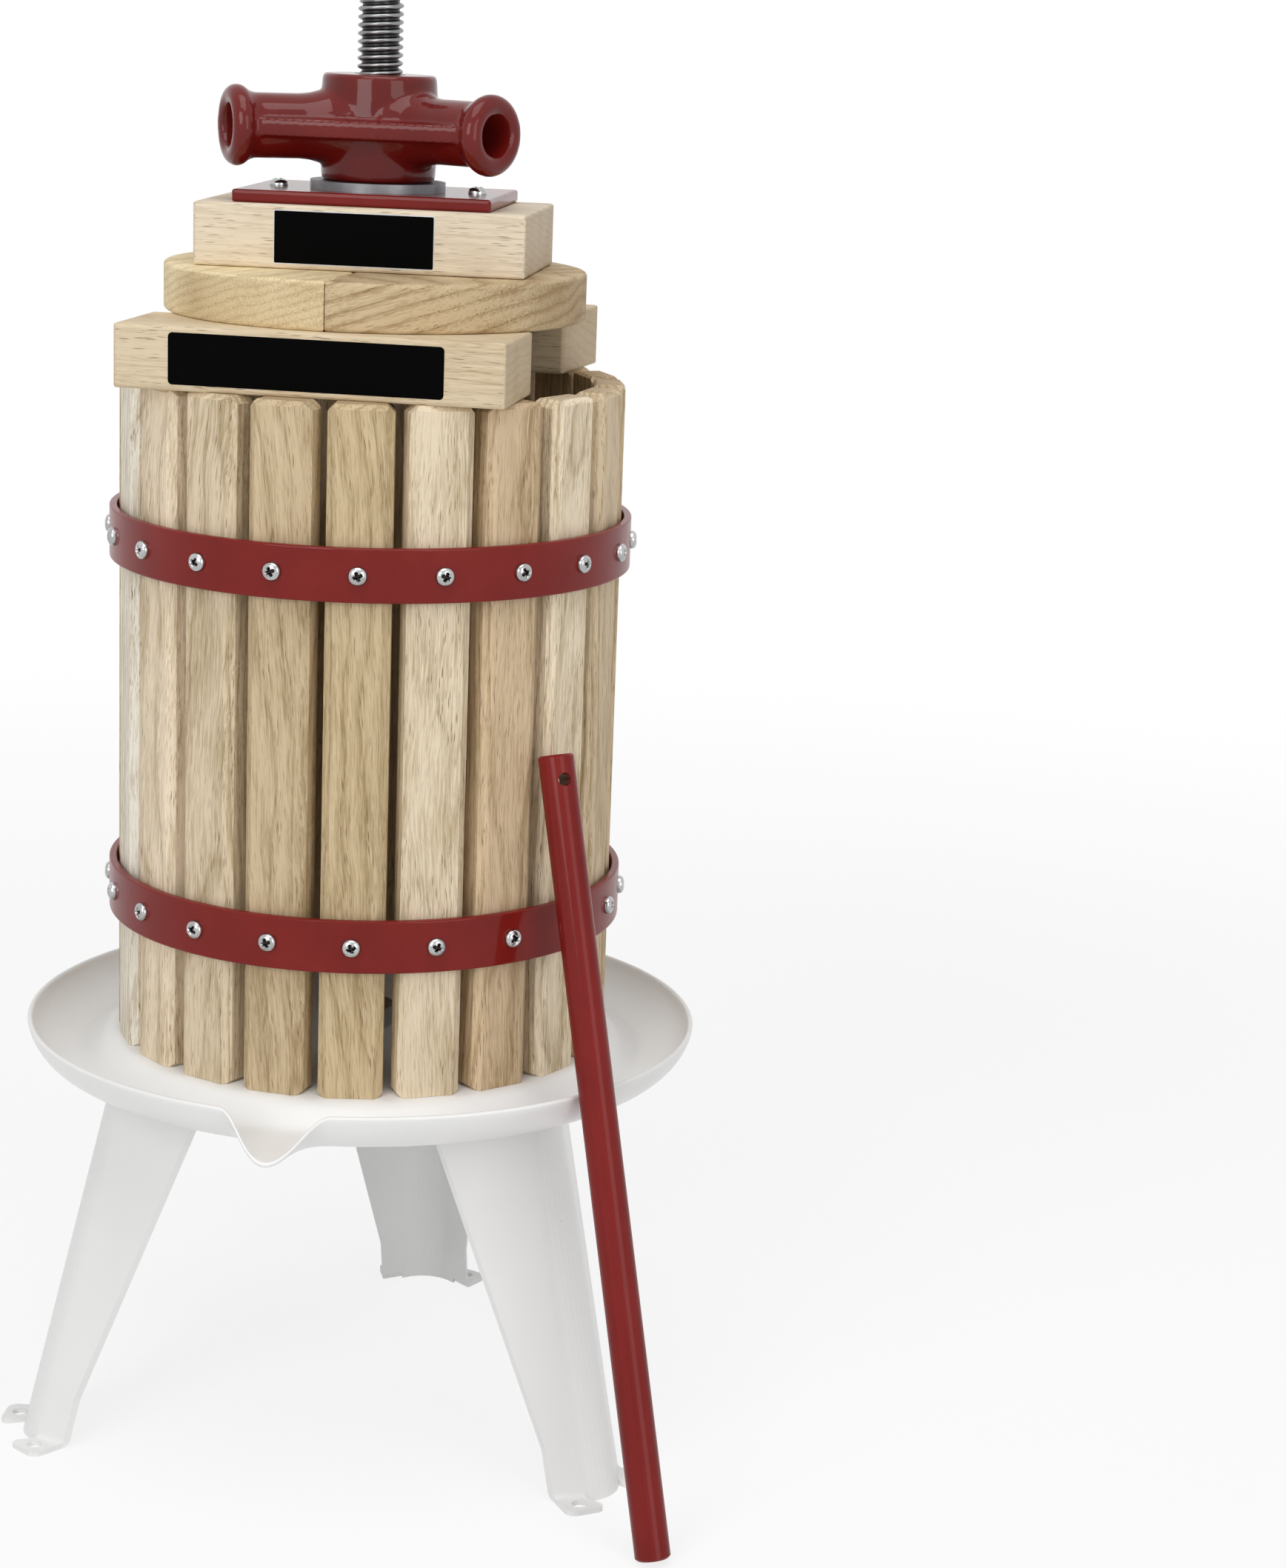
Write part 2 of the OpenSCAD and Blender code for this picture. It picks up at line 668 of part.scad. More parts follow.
module top_block() {
    color(wood) rotate([0, 0, top_block_turn]) difference() {
        translate([0, 0, top_block_z]) eased_block(top_block_l, top_block_w, top_block_h, wood_edge_r);
        translate([0, 0, top_block_z - 1]) cylinder(h = top_block_h + 2, r = spindle_r + spindle_gap);
        for (x = [-plate_screw_x, plate_screw_x])
            translate([x, 0, top_block_top_z - screw_bite - 0.5])
                cylinder(h = screw_bite + 1, r = screw_d / 2 + screw_fit);
    }
}

module pressure_plate() {
    color(paint) rotate([0, 0, top_block_turn]) difference() {
        translate([0, 0, top_block_top_z]) eased_block(plate_l, plate_w, plate_t, plate_edge_r);
        translate([0, 0, top_block_top_z - 1]) cylinder(h = plate_t + 2, r = spindle_r + spindle_gap);
        for (x = [-plate_screw_x, plate_screw_x]) translate([x, 0, top_block_top_z - 1])
            cylinder(h = plate_t + 2, r = screw_d / 2 + screw_clearance);
    }
}

module plate_screws() {
    color(bright) rotate([0, 0, top_block_turn]) for (x = [-plate_screw_x, plate_screw_x])
        translate([x, 0, plate_top_z]) pan_screw(plate_t + screw_bite);
}

module thrust_washer() {
    color("gray") translate([0, 0, plate_top_z]) difference() {
        cylinder(h = washer_t, d = washer_d);
        translate([0, 0, -1]) cylinder(h = washer_t + 2, r = spindle_r + spindle_gap / 2);
    }
}

// One arm of the cast nut along z, from the axis out to the mouth of its socket
module nut_arm() {
    bead_centre = [bead_r - bead_round, socket_reach - bead_round];
    bead = [for (i = [-2 : 2 * arc_steps]) let (w = 90 * i / (2 * arc_steps)) bead_centre
        + bead_round * [cos(w), sin(w)]];
    neck = bead_centre[1] - bead_round;
    rotate_extrude() polygon(concat(
        [[0, 0], [arm_r, 0], [arm_r, neck - 1.5], [arm_r + 1, neck]],
        bead, [[0, socket_reach]]
    ));
    flare = 5;
    translate([0, 0, hub_end_r - 4]) cylinder(h = 2 * flare, r1 = arm_r + flare, r2 = arm_r - 1);
}

module press_nut() {
    half_h = nut_h / 2;
    turns = [for (k = [0 : 2]) nut_turn_angle + 120 * k];
    c = 1.2;
    color(paint) translate([0, 0, nut_mid_z]) difference() {
        union() {
            rotate_extrude() polygon([
                [0, -half_h], [hub_end_r - 1, -half_h], [hub_end_r, -half_h + 1], [hub_mid_r, -web_t / 2],
                [hub_mid_r, web_t / 2], [hub_end_r, half_h - 1], [hub_end_r - 1, half_h], [0, half_h]
            ]);
            for (turn = turns) rotate([0, 0, turn]) rotate([90, 0, 0]) nut_arm();
            translate([0, 0, -web_t / 2]) linear_extrude(web_t) intersection() {
                polygon([for (turn = turns) polar(2 * web_reach, turn)]);
                circle(r = socket_reach - bead_round);
            }
        }
        translate([0, 0, -half_h - 1]) cylinder(h = nut_h + 2, r = spindle_r + thread_fit);
        for (side = [0, 1]) mirror([0, 0, side]) translate([0, 0, half_h - c])
            cylinder(h = c + 0.01, r1 = spindle_r + thread_fit, r2 = spindle_r + thread_fit + c);
        for (turn = turns) facing_out(turn, socket_reach - socket_depth, 0)
            cylinder(h = socket_depth + 1, d = socket_d);
    }
}

// The lever leans on the tray's rim with its head just clear of the basket, so its lean follows from both
lever_r = lever_d / 2;
function rim_point(lean) = polar(tray_rim_r + lever_rest + lever_r / cos(lean), lever_rim_turn);
function head_point(lean) = polar(stave_corner_r + lever_rest + lever_r * cos(lean), lever_head_turn);
function head_z(lean) = lever_l * cos(lean) + lever_r * sin(lean);
function better_lean(lean) =
    atan(norm(rim_point(lean) - head_point(lean)) / (head_z(lean) - rim_edge_z));
lever_lean = better_lean(better_lean(better_lean(better_lean(better_lean(17)))));
lever_way = head_point(lever_lean) - rim_point(lever_lean);
lever_heading = atan2(lever_way[1], lever_way[0]);
lever_foot = head_point(lever_lean) - unit(lever_way) * lever_l * sin(lever_lean);

module lever() {
    c = lever_chamfer;
    color(paint) translate([lever_foot[0], lever_foot[1], lever_r * sin(lever_lean)])
        rotate([0, 0, lever_heading]) rotate([0, lever_lean, 0]) difference() {
            rotate_extrude() polygon([
                [0, 0], [lever_r - c, 0], [lever_r, c],
                [lever_r, lever_l - c], [lever_r - c, lever_l], [0, lever_l]
            ]);
            translate([0, 0, lever_l - lever_hole_in])
                rotate([0, 90, lever_hole_turn - 90 - lever_heading])
                    cylinder(h = 2 * lever_d, d = lever_hole_d, center = true);
        }
}

spindle();
base_nut();
base_washer();
lock_nut();
tray();
leg_front_left();
leg_front_right();
leg_rear();
for (i = [0 : stave_n - 1]) stave(i);
upper_hoop();
lower_hoop();
upper_hoop_screws();
lower_hoop_screws();
lower_block_front();
lower_block_rear();
half_disc_left();
half_disc_right();
top_block();
pressure_plate();
plate_screws();
thrust_washer();
press_nut();
lever();
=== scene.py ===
"""Looks for a hand-operated fruit press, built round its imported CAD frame.

The frame gives every rigid piece its place. This script dresses the frame: procedural materials on each
carried-over solid, and finer meshes for the thread, the screws, the pressed tray, the cast nut and the
labels. Lengths are in metres, and turns are in degrees from the front (-Y) towards the right (+X).
"""
import logging
from dataclasses import dataclass, field
from enum import Enum
from math import atan, ceil, cos, hypot, pi, radians, sin, sqrt
from typing import Iterable, Optional, Sequence, Union

import bmesh
import bpy
import numpy as np
from mathutils import Matrix, Vector


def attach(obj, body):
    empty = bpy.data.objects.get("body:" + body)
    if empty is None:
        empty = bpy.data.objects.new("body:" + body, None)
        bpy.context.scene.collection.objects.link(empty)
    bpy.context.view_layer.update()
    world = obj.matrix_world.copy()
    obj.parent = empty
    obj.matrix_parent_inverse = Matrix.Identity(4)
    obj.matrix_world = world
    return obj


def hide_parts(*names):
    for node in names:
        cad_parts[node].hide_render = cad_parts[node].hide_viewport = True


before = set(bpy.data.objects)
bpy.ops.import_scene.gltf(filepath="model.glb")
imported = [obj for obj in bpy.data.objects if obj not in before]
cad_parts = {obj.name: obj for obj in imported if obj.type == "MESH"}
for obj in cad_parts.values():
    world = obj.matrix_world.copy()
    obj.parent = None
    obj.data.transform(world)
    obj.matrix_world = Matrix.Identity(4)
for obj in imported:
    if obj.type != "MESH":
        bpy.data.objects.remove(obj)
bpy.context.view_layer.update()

logging.basicConfig(level=logging.INFO, format="%(name)s: %(message)s")
LOG = logging.getLogger("fruit_press")

MM = 0.001
Colour = tuple[float, float, float]
Point = tuple[float, float, float]
Pair = tuple[float, float]
Scale = Union[float, Point]
Profile = Sequence[Pair]
Shape = tuple[list[Vector], list[tuple[int, ...]]]
Out = bpy.types.NodeSocket
Material = bpy.types.Material
Thing = bpy.types.Object
Socket = Union[float, Sequence[float], Out]
UP = Vector((0, 0, 1))


class Body(str, Enum):
    """The moving groups of the frame that new pieces ride on."""

    BASE = "base"
    BASKET = "basket"
    FRONT_BLOCK = "front_block"
    HEAD = "press_head"
    NUT = "nut"


class Slot(str, Enum):
    """The record's material slots, one named for each new piece."""

    BLOCK = "block_wood"
    PAINT = "red_paint"
    WHITE = "white_coat"
    THREAD = "dark_steel"
    ZINC = "zinc_steel"


# Sizes shared with the frame


@dataclass(frozen=True)
class PressSizes:
    """The frame's sizes that the finer meshes repeat, in metres and degrees."""

    spindle_r: float = 8.5 * MM
    thread_pitch: float = 3.0 * MM
    thread_root_r: float = 6.95 * MM
    spindle_foot_z: float = 136.9 * MM
    spindle_top_z: float = 560 * MM
    tray_z: float = 160.9 * MM
    tray_sheet: float = 2 * MM
    tray_bore_r: float = 8.8 * MM
    channel_r: float = 113.5 * MM
    channel_depth: float = 9.4 * MM
    rim_r: float = 132.1 * MM
    rim_rise: float = 5.3 * MM
    spout_turn: float = -14.0
    spout_half: float = 9.3
    spout_reach: float = 11 * MM
    spout_drop: float = 0.6 * MM
    stave_turn: float = -2.7
    stave_count: int = 20
    stave_corner_r: float = hypot(96, 9) * MM
    hoop_fit: float = 0.8 * MM
    hoop_sheet: float = 3 * MM
    upper_hoop_z: float = 359.2 * MM
    lower_hoop_z: float = 220.7 * MM
    screw_head_r: float = 3.5 * MM
    screw_head_h: float = 2.5 * MM
    stave_top_z: float = 420.0 * MM
    seat_gap: float = 0.1 * MM
    block_h: float = 23.5 * MM
    block_half_w: float = 23 * MM
    front_block_x: float = -18.4 * MM
    front_block_y: float = -60 * MM
    front_block_turn: float = -14.0
    disc_h: float = 18 * MM
    top_block_half_w: float = 37.5 * MM
    plate_h: float = 4.8 * MM
    washer_h: float = 3.2 * MM
    nut_h: float = 39.4 * MM
    head_turn: float = -10.6
    plate_screw_x: float = 38 * MM
    nut_turn: float = 47.5
    lever_line: Point = (-0.1373, 0.2505, 0.9583)

    @property
    def hoop_in_r(self) -> float:
        """Inner radius of a hoop, which is the platform's radius too."""
        return self.stave_corner_r + self.hoop_fit

    @property
    def top_block_z(self) -> float:
        """Underside of the top block."""
        return self.stave_top_z + self.block_h + self.disc_h + self.seat_gap

    @property
    def plate_top_z(self) -> float:
        """Upper face of the pressure plate."""
        return self.top_block_z + self.block_h + self.plate_h

    @property
    def nut_mid_z(self) -> float:
        """Middle plane of the cast nut."""
        return self.plate_top_z + self.washer_h + self.nut_h / 2

    def stave_turns(self) -> list[float]:
        """Turn of each stave."""
        return [self.stave_turn + k * 360 / self.stave_count for k in range(self.stave_count)]


SIZES = PressSizes()


def polar(radius: float, turn: float, z: float = 0.0) -> Vector:
    """A point by its distance from the spindle's axis, its turn and its height."""
    a = radians(turn)
    return Vector((radius * sin(a), -radius * cos(a), z))


def facing(outward: Vector) -> Matrix:
    """The rotation that points Z along a direction."""
    return outward.to_track_quat("Z", "Y").to_matrix().to_4x4()


# Colours


def linear(*display: float) -> Colour:
    """A display colour, three numbers from 0 to 255, as a linear one."""
    shares = [c / 255 for c in display]
    return tuple(c / 12.92 if c <= 0.04045 else ((c + 0.055) / 1.055) ** 2.4 for c in shares)


def toned(colour: Colour, factor: float, lift: float = 0.0) -> Colour:
    """A colour made darker or lighter by a factor, and lifted by a constant."""
    return tuple(min(1.0, c * factor + lift) for c in colour)


def rgba(value: Socket) -> Socket:
    """Give a plain colour its fourth channel."""
    return value if isinstance(value, Out) else (*value, 1.0)


# Node graphs


class Graph:
    """A short way to write the node tree of a material or a world."""

    def __init__(self, owner: Union[Material, bpy.types.World]) -> None:
        """Start with an empty tree.

        Args:
            owner: What the tree belongs to.
        """
        owner.use_nodes = True
        self.owner = owner
        self.tree = owner.node_tree
        self.tree.nodes.clear()

    def add(self, kind: str, inputs: Optional[dict[Union[str, int], Socket]] = None,
            **settings: object) -> bpy.types.Node:
        """Add a node.

        Args:
            kind: The node's Blender type without the word ShaderNode.
            inputs: Values or sockets by the input's name or number.
            settings: Attributes of the node itself.

        Returns:
            The new node.
        """
        node = self.tree.nodes.new(f"ShaderNode{kind}")
        for key, value in settings.items():
            setattr(node, key, value)
        for key, value in (inputs or {}).items():
            if isinstance(value, Out):
                self.tree.links.new(value, node.inputs[key])
            else:
                node.inputs[key].default_value = value
        return node

    def calc(self, operation: str, a: Socket, b: Socket = 0.0, clamp: bool = False) -> Out:
        """One math node's result."""
        return self.add("Math", {0: a, 1: b}, operation=operation, use_clamp=clamp).outputs[0]

    def times(self, a: Socket, b: Socket) -> Out:
        """The product of two numbers."""
        return self.calc("MULTIPLY", a, b)

    def swing(self, value: Socket, middle: float, gain: float) -> Out:
        """How far a value is from its middle, times a gain."""
        return self.times(self.calc("SUBTRACT", value, middle), gain)

    def vector(self, operation: str, a: Socket, b: Socket = (0.0, 0.0, 0.0)) -> Out:
        """One vector math node's result."""
        node = self.add("VectorMath", {0: a, 1: b}, operation=operation)
        return node.outputs["Value" if operation in ("LENGTH", "DOT_PRODUCT") else "Vector"]

    def rotate(self, place: Socket, axis: str, degrees: float) -> Out:
        """A place turned about X, Y or Z."""
        inputs = {"Vector": place, "Angle": radians(degrees)}
        return self.add("VectorRotate", inputs, rotation_type=f"{axis}_AXIS").outputs[0]

    def scaled(self, place: Socket, scale: Scale) -> dict[str, Socket]:
        """A texture's inputs for one scale, or for a scale of each axis.

        Args:
            place: Where the texture is read.
            scale: Repeats per unit of the place.

        Returns:
            The inputs by their names.
        """
        if isinstance(scale, tuple):
            return {"Vector": self.vector("MULTIPLY", place, scale), "Scale": 1.0}
        return {"Vector": place, "Scale": scale}

    def noise(self, place: Socket, scale: Scale, detail: float = 2.0, rough: float = 0.5) -> Out:
        """Noise from 0 to 1 about 0.5."""
        inputs = {**self.scaled(place, scale), "Detail": detail, "Roughness": rough}
        return self.add("TexNoise", inputs).outputs["Fac"]

    def cells(self, place: Socket, scale: Scale) -> Out:
        """Distance from the nearest of many scattered points."""
        return self.add("TexVoronoi", self.scaled(place, scale)).outputs["Distance"]

    def ramp(self, factor: Socket, *stops: Pair) -> Out:
        """A grey ramp that eases through (position, value) stops.

        Args:
            factor: The value to look up.
            stops: The stops in rising order.

        Returns:
            The ramp's colour.
        """
        node = self.add("ValToRGB", {"Fac": factor})
        ramp = node.color_ramp
        ramp.interpolation = "EASE"
        while len(ramp.elements) < len(stops):
            ramp.elements.new(0.5)
        for element, (position, value) in zip(ramp.elements, stops):
            element.position = position
            element.color = (value, value, value, 1.0)
        return node.outputs["Color"]

    def mix(self, factor: Socket, a: Socket, b: Socket) -> Out:
        """Mix two colours, which are the mix node's inputs 6 and 7 and its output 2."""
        return self.add("Mix", {0: factor, 6: rgba(a), 7: rgba(b)}, data_type="RGBA").outputs[2]

    def tint(self, base: Socket, colour: Colour, mask: Socket, share: float) -> Out:
        """A base colour with a share of another one where the mask is 1."""
        return self.mix(self.times(mask, share), base, colour)

    def bump(self, height: Socket, depth: float, strength: float) -> Out:
        """A bump of the given depth in metres."""
        return self.add("Bump", {"Height": height, "Strength": strength, "Distance": depth}).outputs[0]

    def place_mm(self) -> Out:
        """Object coordinates in millimetres."""
        place = self.add("TexCoord").outputs["Object"]
        return self.vector("MULTIPLY", place, (1 / MM, 1 / MM, 1 / MM))

    def seen(self) -> Out:
        """1 for rays from the camera, off gloss or through glass, and 0 for light that falls on surfaces.

        Returns:
            The share of 0 or 1.
        """
        path = self.add("LightPath").outputs
        indirect = self.calc("ADD", path["Is Glossy Ray"], path["Is Transmission Ray"])
        return self.calc("ADD", path["Is Camera Ray"], indirect, clamp=True)

    def blend(self, factor: Socket, first: bpy.types.Node, second: bpy.types.Node, output: str) -> None:
        """Close the graph with a mix of two shaders."""
        shader = self.add("MixShader", {0: factor, 1: first.outputs[0], 2: second.outputs[0]})
        self.add(output, {"Surface": shader.outputs[0]})

    def finish(self, **inputs: Socket) -> Material:
        """Close the graph with a Principled shader.

        Args:
            inputs: The shader's inputs, with underscores for spaces.

        Returns:
            The finished material.
        """
        named = {key.replace("_", " "): value for key, value in inputs.items()}
        self.add("OutputMaterial", {"Surface": self.add("BsdfPrincipled", named).outputs["BSDF"]})
        return self.owner


def new_graph(name: str) -> Graph:
    """An empty graph for a new material."""
    return Graph(bpy.data.materials.new(name))


# Finishes


@dataclass(frozen=True)
class Oak:
    """Planed, untreated oak.

    Attributes:
        light: Colour between the pores.
        dark: Colour of the late wood bands.
        turn: Turn that brings the grain to +X, or the face of an upright board to the front.
        heart: Where the heart of the log is, across and through the board, in millimetres.
        ring: Width of one growth ring in millimetres.
        contrast: How strongly the rings show.
        seed: Offset of all patterns.
        slope: Degrees that the grain runs out of the board's length.
        lying: Whether the grain lies along the turned X axis instead of standing upright.
    """

    light: Colour
    dark: Colour
    turn: float
    heart: Pair
    ring: float
    contrast: float
    seed: float
    slope: float = 0.0
    lying: bool = False

    # Colours that all boards share
    PORE = linear(112, 82, 50)
    FLECK = linear(236, 218, 188)
    END_GRAIN = linear(150, 116, 76)

    # Repeats per millimetre across, through and along the grain
    SWAY = (0.02, 0.02, 0.016)
    WOBBLE = (0.022, 0.022, 0.0065)
    FIBRE = (2.6, 2.6, 0.10)
    STREAK = (1.1, 1.1, 0.05)
    CLOUD = (0.05, 0.05, 0.012)
    PORE_CELL = (1.6, 1.6, 0.11)
    PORE_PATCH = (0.5, 0.5, 0.05)
    RAY = (0.9, 0.12, 0.10)

    # Millimetres that the grain sways, that the rings wobble and that each seed moves the patterns
    SWAY_MM = 9.0
    WOBBLE_MM = 16.0
    SEED_MM = (3.1, 1.7, 41.0)

    def grain_space(self, g: Graph) -> Out:
        """Coordinates in millimetres whose Z runs along the grain.

        Args:
            g: The graph.

        Returns:
            The coordinates.
        """
        turned = g.rotate(g.place_mm(), "Z", -self.turn)
        if self.lying:
            return g.rotate(g.rotate(turned, "Y", self.slope - 90), "X", self.slope * 0.4)
        upright = g.rotate(turned, "Y", self.slope)
        sway = g.swing(g.noise(upright, self.SWAY), 0.5, self.SWAY_MM)
        return g.vector("ADD", upright, g.add("CombineXYZ", {"X": sway}).outputs[0])

    def rings(self, g: Graph, board: Out, grain: Out) -> Out:
        """Place within a growth ring, from 0 in the early wood to 1.

        Args:
            g: The graph.
            board: Coordinates in the board.
            grain: The same, shifted by the seed.

        Returns:
            The place within a ring.
        """
        across = g.vector("MULTIPLY", board, (1.0, 1.0, 0.0))
        distance = g.vector("LENGTH", g.vector("ADD", across, (*self.heart, 0.0)))
        wobble = g.times(g.noise(grain, self.WOBBLE), self.WOBBLE_MM)
        return g.calc("FRACT", g.calc("DIVIDE", g.calc("ADD", distance, wobble), self.ring))

    def pores(self, g: Graph, grain: Out, rings: Out) -> Out:
        """Open pores: short dark lines along the grain, densest in the early wood.

        Args:
            g: The graph.
            grain: Coordinates along the grain.
            rings: Place within a growth ring.

        Returns:
            1 in a pore and 0 between pores.
        """
        core = g.ramp(g.cells(grain, self.PORE_CELL), (0.0, 1.0), (0.17, 0.85), (0.30, 0.0))
        early = g.ramp(rings, (0.0, 1.0), (0.30, 0.9), (0.55, 0.40), (0.9, 0.45), (1.0, 1.0))
        patch = g.ramp(g.noise(grain, self.PORE_PATCH), (0.35, 0.30), (0.60, 1.0))
        return g.times(g.times(core, early), patch)

    def ends(self, g: Graph) -> Out:
        """1 on the faces that cut across the grain.

        Args:
            g: The graph.

        Returns:
            The share from 0 to 1.
        """
        a = radians(self.turn)
        along = (cos(a), sin(a), 0.0) if self.lying else (0.0, 0.0, 1.0)
        normal = g.add("TexCoord").outputs["Normal"]
        return g.ramp(g.calc("ABSOLUTE", g.vector("DOT_PRODUCT", normal, along)), (0.72, 0.0), (0.9, 1.0))

    def build(self, name: str) -> Material:
        """Make the material.

        Args:
            name: The material's name.

        Returns:
            The finished material.
        """
        g = new_graph(name)
        board = self.grain_space(g)
        grain = g.vector("ADD", board, tuple(self.seed * step for step in self.SEED_MM))
        rings = self.rings(g, board, grain)
        band = g.ramp(rings, (0.0, 0.85), (0.16, 0.25), (0.55, 0.0), (0.92, 0.5), (1.0, 0.85))
        fibre = g.noise(grain, self.FIBRE, 4.0, 0.65)
        streak = g.noise(grain, self.STREAK, 3.0, 0.55)
        cloud = g.noise(grain, self.CLOUD)
        tone = g.times(band, self.contrast)
        for pattern, middle, gain in ((fibre, 0.5, 2.4), (streak, 0.45, 1.5), (cloud, 0.45, 1.5)):
            tone = g.calc("ADD", tone, g.swing(pattern, middle, gain))
        pores = self.pores(g, grain, rings)
        flecks = g.ramp(g.noise(grain, self.RAY, 1.0, 0.4), (0.66, 0.0), (0.72, 1.0))
        colour = g.tint(g.mix(tone, self.light, self.dark), self.PORE, pores, share=0.95)
        colour = g.tint(colour, self.FLECK, flecks, share=0.22)
        colour = g.tint(colour, self.END_GRAIN, self.ends(g), share=0.30)
        height = g.calc("SUBTRACT", g.times(fibre, 0.35), pores)
        rough = g.calc("ADD", 0.56, g.times(fibre, 0.16))
        return g.finish(Base_Color=colour, Roughness=rough, Normal=g.bump(height, 0.12 * MM, 0.55))


@dataclass(frozen=True)
class Enamel:
    """Dark red stoving enamel.

    Attributes:
        coat: Weight of the clear gloss on it, whose roughness is coat_rough.
        texture: Depth of the surface's unevenness in metres.
        grain: Scale of the unevenness.
        streaks: Direction of faint lengthwise bands, if any.
    """

    colour: Colour
    rough: float
    coat: float
    coat_rough: float
    texture: float = 0.06 * MM
    grain: float = 0.55
    streaks: Optional[Point] = None

    def build(self, name: str) -> Material:
        """Make the material.

        Args:
            name: The material's name.

        Returns:
            The finished material.
        """
        g = new_graph(name)
        place = g.place_mm()
        cloud = g.times(g.noise(place, 0.045, 3.0), 0.5)
        tone = g.calc("ADD", cloud, g.times(g.noise(place, 2.2), 0.25))
        if self.streaks is not None:
            # Most of the distance along the bands is taken away, which draws the noise out
            axis = tuple(Vector(self.streaks).normalized())
            along = g.times(g.vector("DOT_PRODUCT", place, axis), 0.985)
            part = g.add("VectorMath", {0: axis, "Scale": along}, operation="SCALE").outputs["Vector"]
            bands = g.noise(g.vector("SUBTRACT", place, part), 0.55)
            tone = g.calc("ADD", tone, g.times(bands, 0.5))
        dark, light = toned(self.colour, 0.80), toned(self.colour, 1.25, 0.004)
        colour = g.mix(g.ramp(tone, (0.2, 0.0), (0.8, 1.0)), dark, light)
        peel = g.bump(g.noise(place, self.grain), self.texture, 0.6)
        return g.finish(Base_Color=colour, Roughness=self.rough, Normal=peel, Coat_Weight=self.coat,
                        Coat_Roughness=self.coat_rough, Specular_IOR_Level=0.06)


@dataclass(frozen=True)
class PowderCoat:
    """Off-white powder coat with its fine orange peel, a few specks and scuffs."""

    colour: Colour = linear(247, 247, 246)
    dirt: Colour = linear(128, 122, 112)
    rough: float = 0.36

    def build(self, name: str) -> Material:
        """Make the material.

        Args:
            name: The material's name.

        Returns:
            The finished material.
        """
        g = new_graph(name)
        place = g.place_mm()
        speck = g.ramp(g.cells(place, 0.11), (0.0, 1.0), (0.045, 1.0), (0.06, 0.0))
        patch = g.ramp(g.noise(place, 0.03), (0.56, 0.0), (0.66, 1.0))
        scuff = g.ramp(g.noise(place, (0.25, 0.06, 0.10), 5.0, 0.7), (0.66, 0.0), (0.75, 1.0))
        specks = g.times(g.times(speck, patch), 0.35)
        base = g.mix(g.noise(place, 0.02, 3.0), self.colour, toned(self.colour, 0.93))
        colour = g.mix(g.calc("ADD", specks, g.times(scuff, 0.10)), base, self.dirt)
        peel = g.bump(g.noise(place, 1.4), 0.03 * MM, 0.5)
        return g.finish(Base_Color=colour, Roughness=self.rough, Normal=peel, Coat_Weight=0.15,
                        Coat_Roughness=0.2)


@dataclass(frozen=True)
class BareSteel:
    """Bare or plated steel, bright zinc unless told otherwise.

    Attributes:
        oil: How much dark oil lies in patches.
        scale: Scale of the surface's fine unevenness.
        paints_recess_shade: Whether the mesh carries a recess attribute, by which painted shade darkens the
            metal deep in the recesses.
        groove_shade: Millimetres of a thread's root and crest radius, between which painted shade darkens the
            roots and fades out towards the crests.
    """

    colour: Colour = linear(190, 190, 190)
    rough: float = 0.16
    oil: float = 0.35
    scale: float = 0.9
    paints_recess_shade: bool = False
    groove_shade: Optional[Pair] = None

    def build(self, name: str) -> Material:
        """Make the material.

        Args:
            name: The material's name.

        Returns:
            The finished material.
        """
        g = new_graph(name)
        place = g.place_mm()
        fine = g.noise(place, self.scale, 4.0, 0.6)
        stain = g.ramp(g.noise(place, 0.12), (0.35, 0.0), (0.7, 1.0))
        colour = g.tint(self.colour, toned(self.colour, 0.35), stain, self.oil)
        if self.paints_recess_shade:
            # Painted shade: the plating turns dark grey deep in each cross recess, where shade falls
            deep = g.add("Attribute", attribute_name="recess").outputs["Fac"]
            colour = g.mix(g.ramp(deep, (0.25, 0.0), (0.8, 1.0)), colour, linear(58, 54, 52))
        if self.groove_shade is not None:
            root, crest = self.groove_shade
            # Painted shade: the thread's roots are painted dark, brightening to the plain steel towards the
            # crests
            out = g.vector("LENGTH", g.vector("MULTIPLY", place, (1.0, 1.0, 0.0)))
            height = g.calc("DIVIDE", g.calc("SUBTRACT", out, root), crest - root, clamp=True)
            colour = g.mix(g.ramp(height, (0.0, 0.0), (0.9, 1.0)), toned(self.colour, 0.12), colour)
        rough = g.calc("ADD", self.rough - 0.06, g.times(fine, 0.16))
        return g.finish(Base_Color=colour, Metallic=1.0, Roughness=rough, Normal=g.bump(fine, 0.04 * MM, 0.5))


@dataclass(frozen=True)
class Foil:
    """Self-adhesive foil, left blank."""

    colour: Colour = linear(3, 3, 3)

    def build(self, name: str) -> Material:
        """Make the material.

        Args:
            name: The material's name.

        Returns:
            The finished material.
        """
        g = new_graph(name)
        place = g.place_mm()
        colour = g.mix(g.noise(place, 0.3, 3.0), self.colour, toned(self.colour, 1.6))
        ripple = g.bump(g.noise(place, 0.4), 0.03 * MM, 0.4)
        return g.finish(Base_Color=colour, Roughness=0.5, Specular_IOR_Level=0.02, Normal=ripple)


# Mesh helpers


def add_object(name: str, data: bpy.types.ID) -> Thing:
    """Make an object and put it in the scene.

    Args:
        name: The object's name.
        data: The mesh, camera or light that it holds.

    Returns:
        The new object.
    """
    thing = bpy.data.objects.new(name, data)
    bpy.context.scene.collection.objects.link(thing)
    return thing


def shade(mesh: bpy.types.Mesh, sharp_deg: float) -> None:
    """Shade a mesh smooth, but for edges bent by more than an angle in degrees."""
    mesh.shade_smooth()
    mesh.set_sharp_from_angle(angle=radians(sharp_deg))


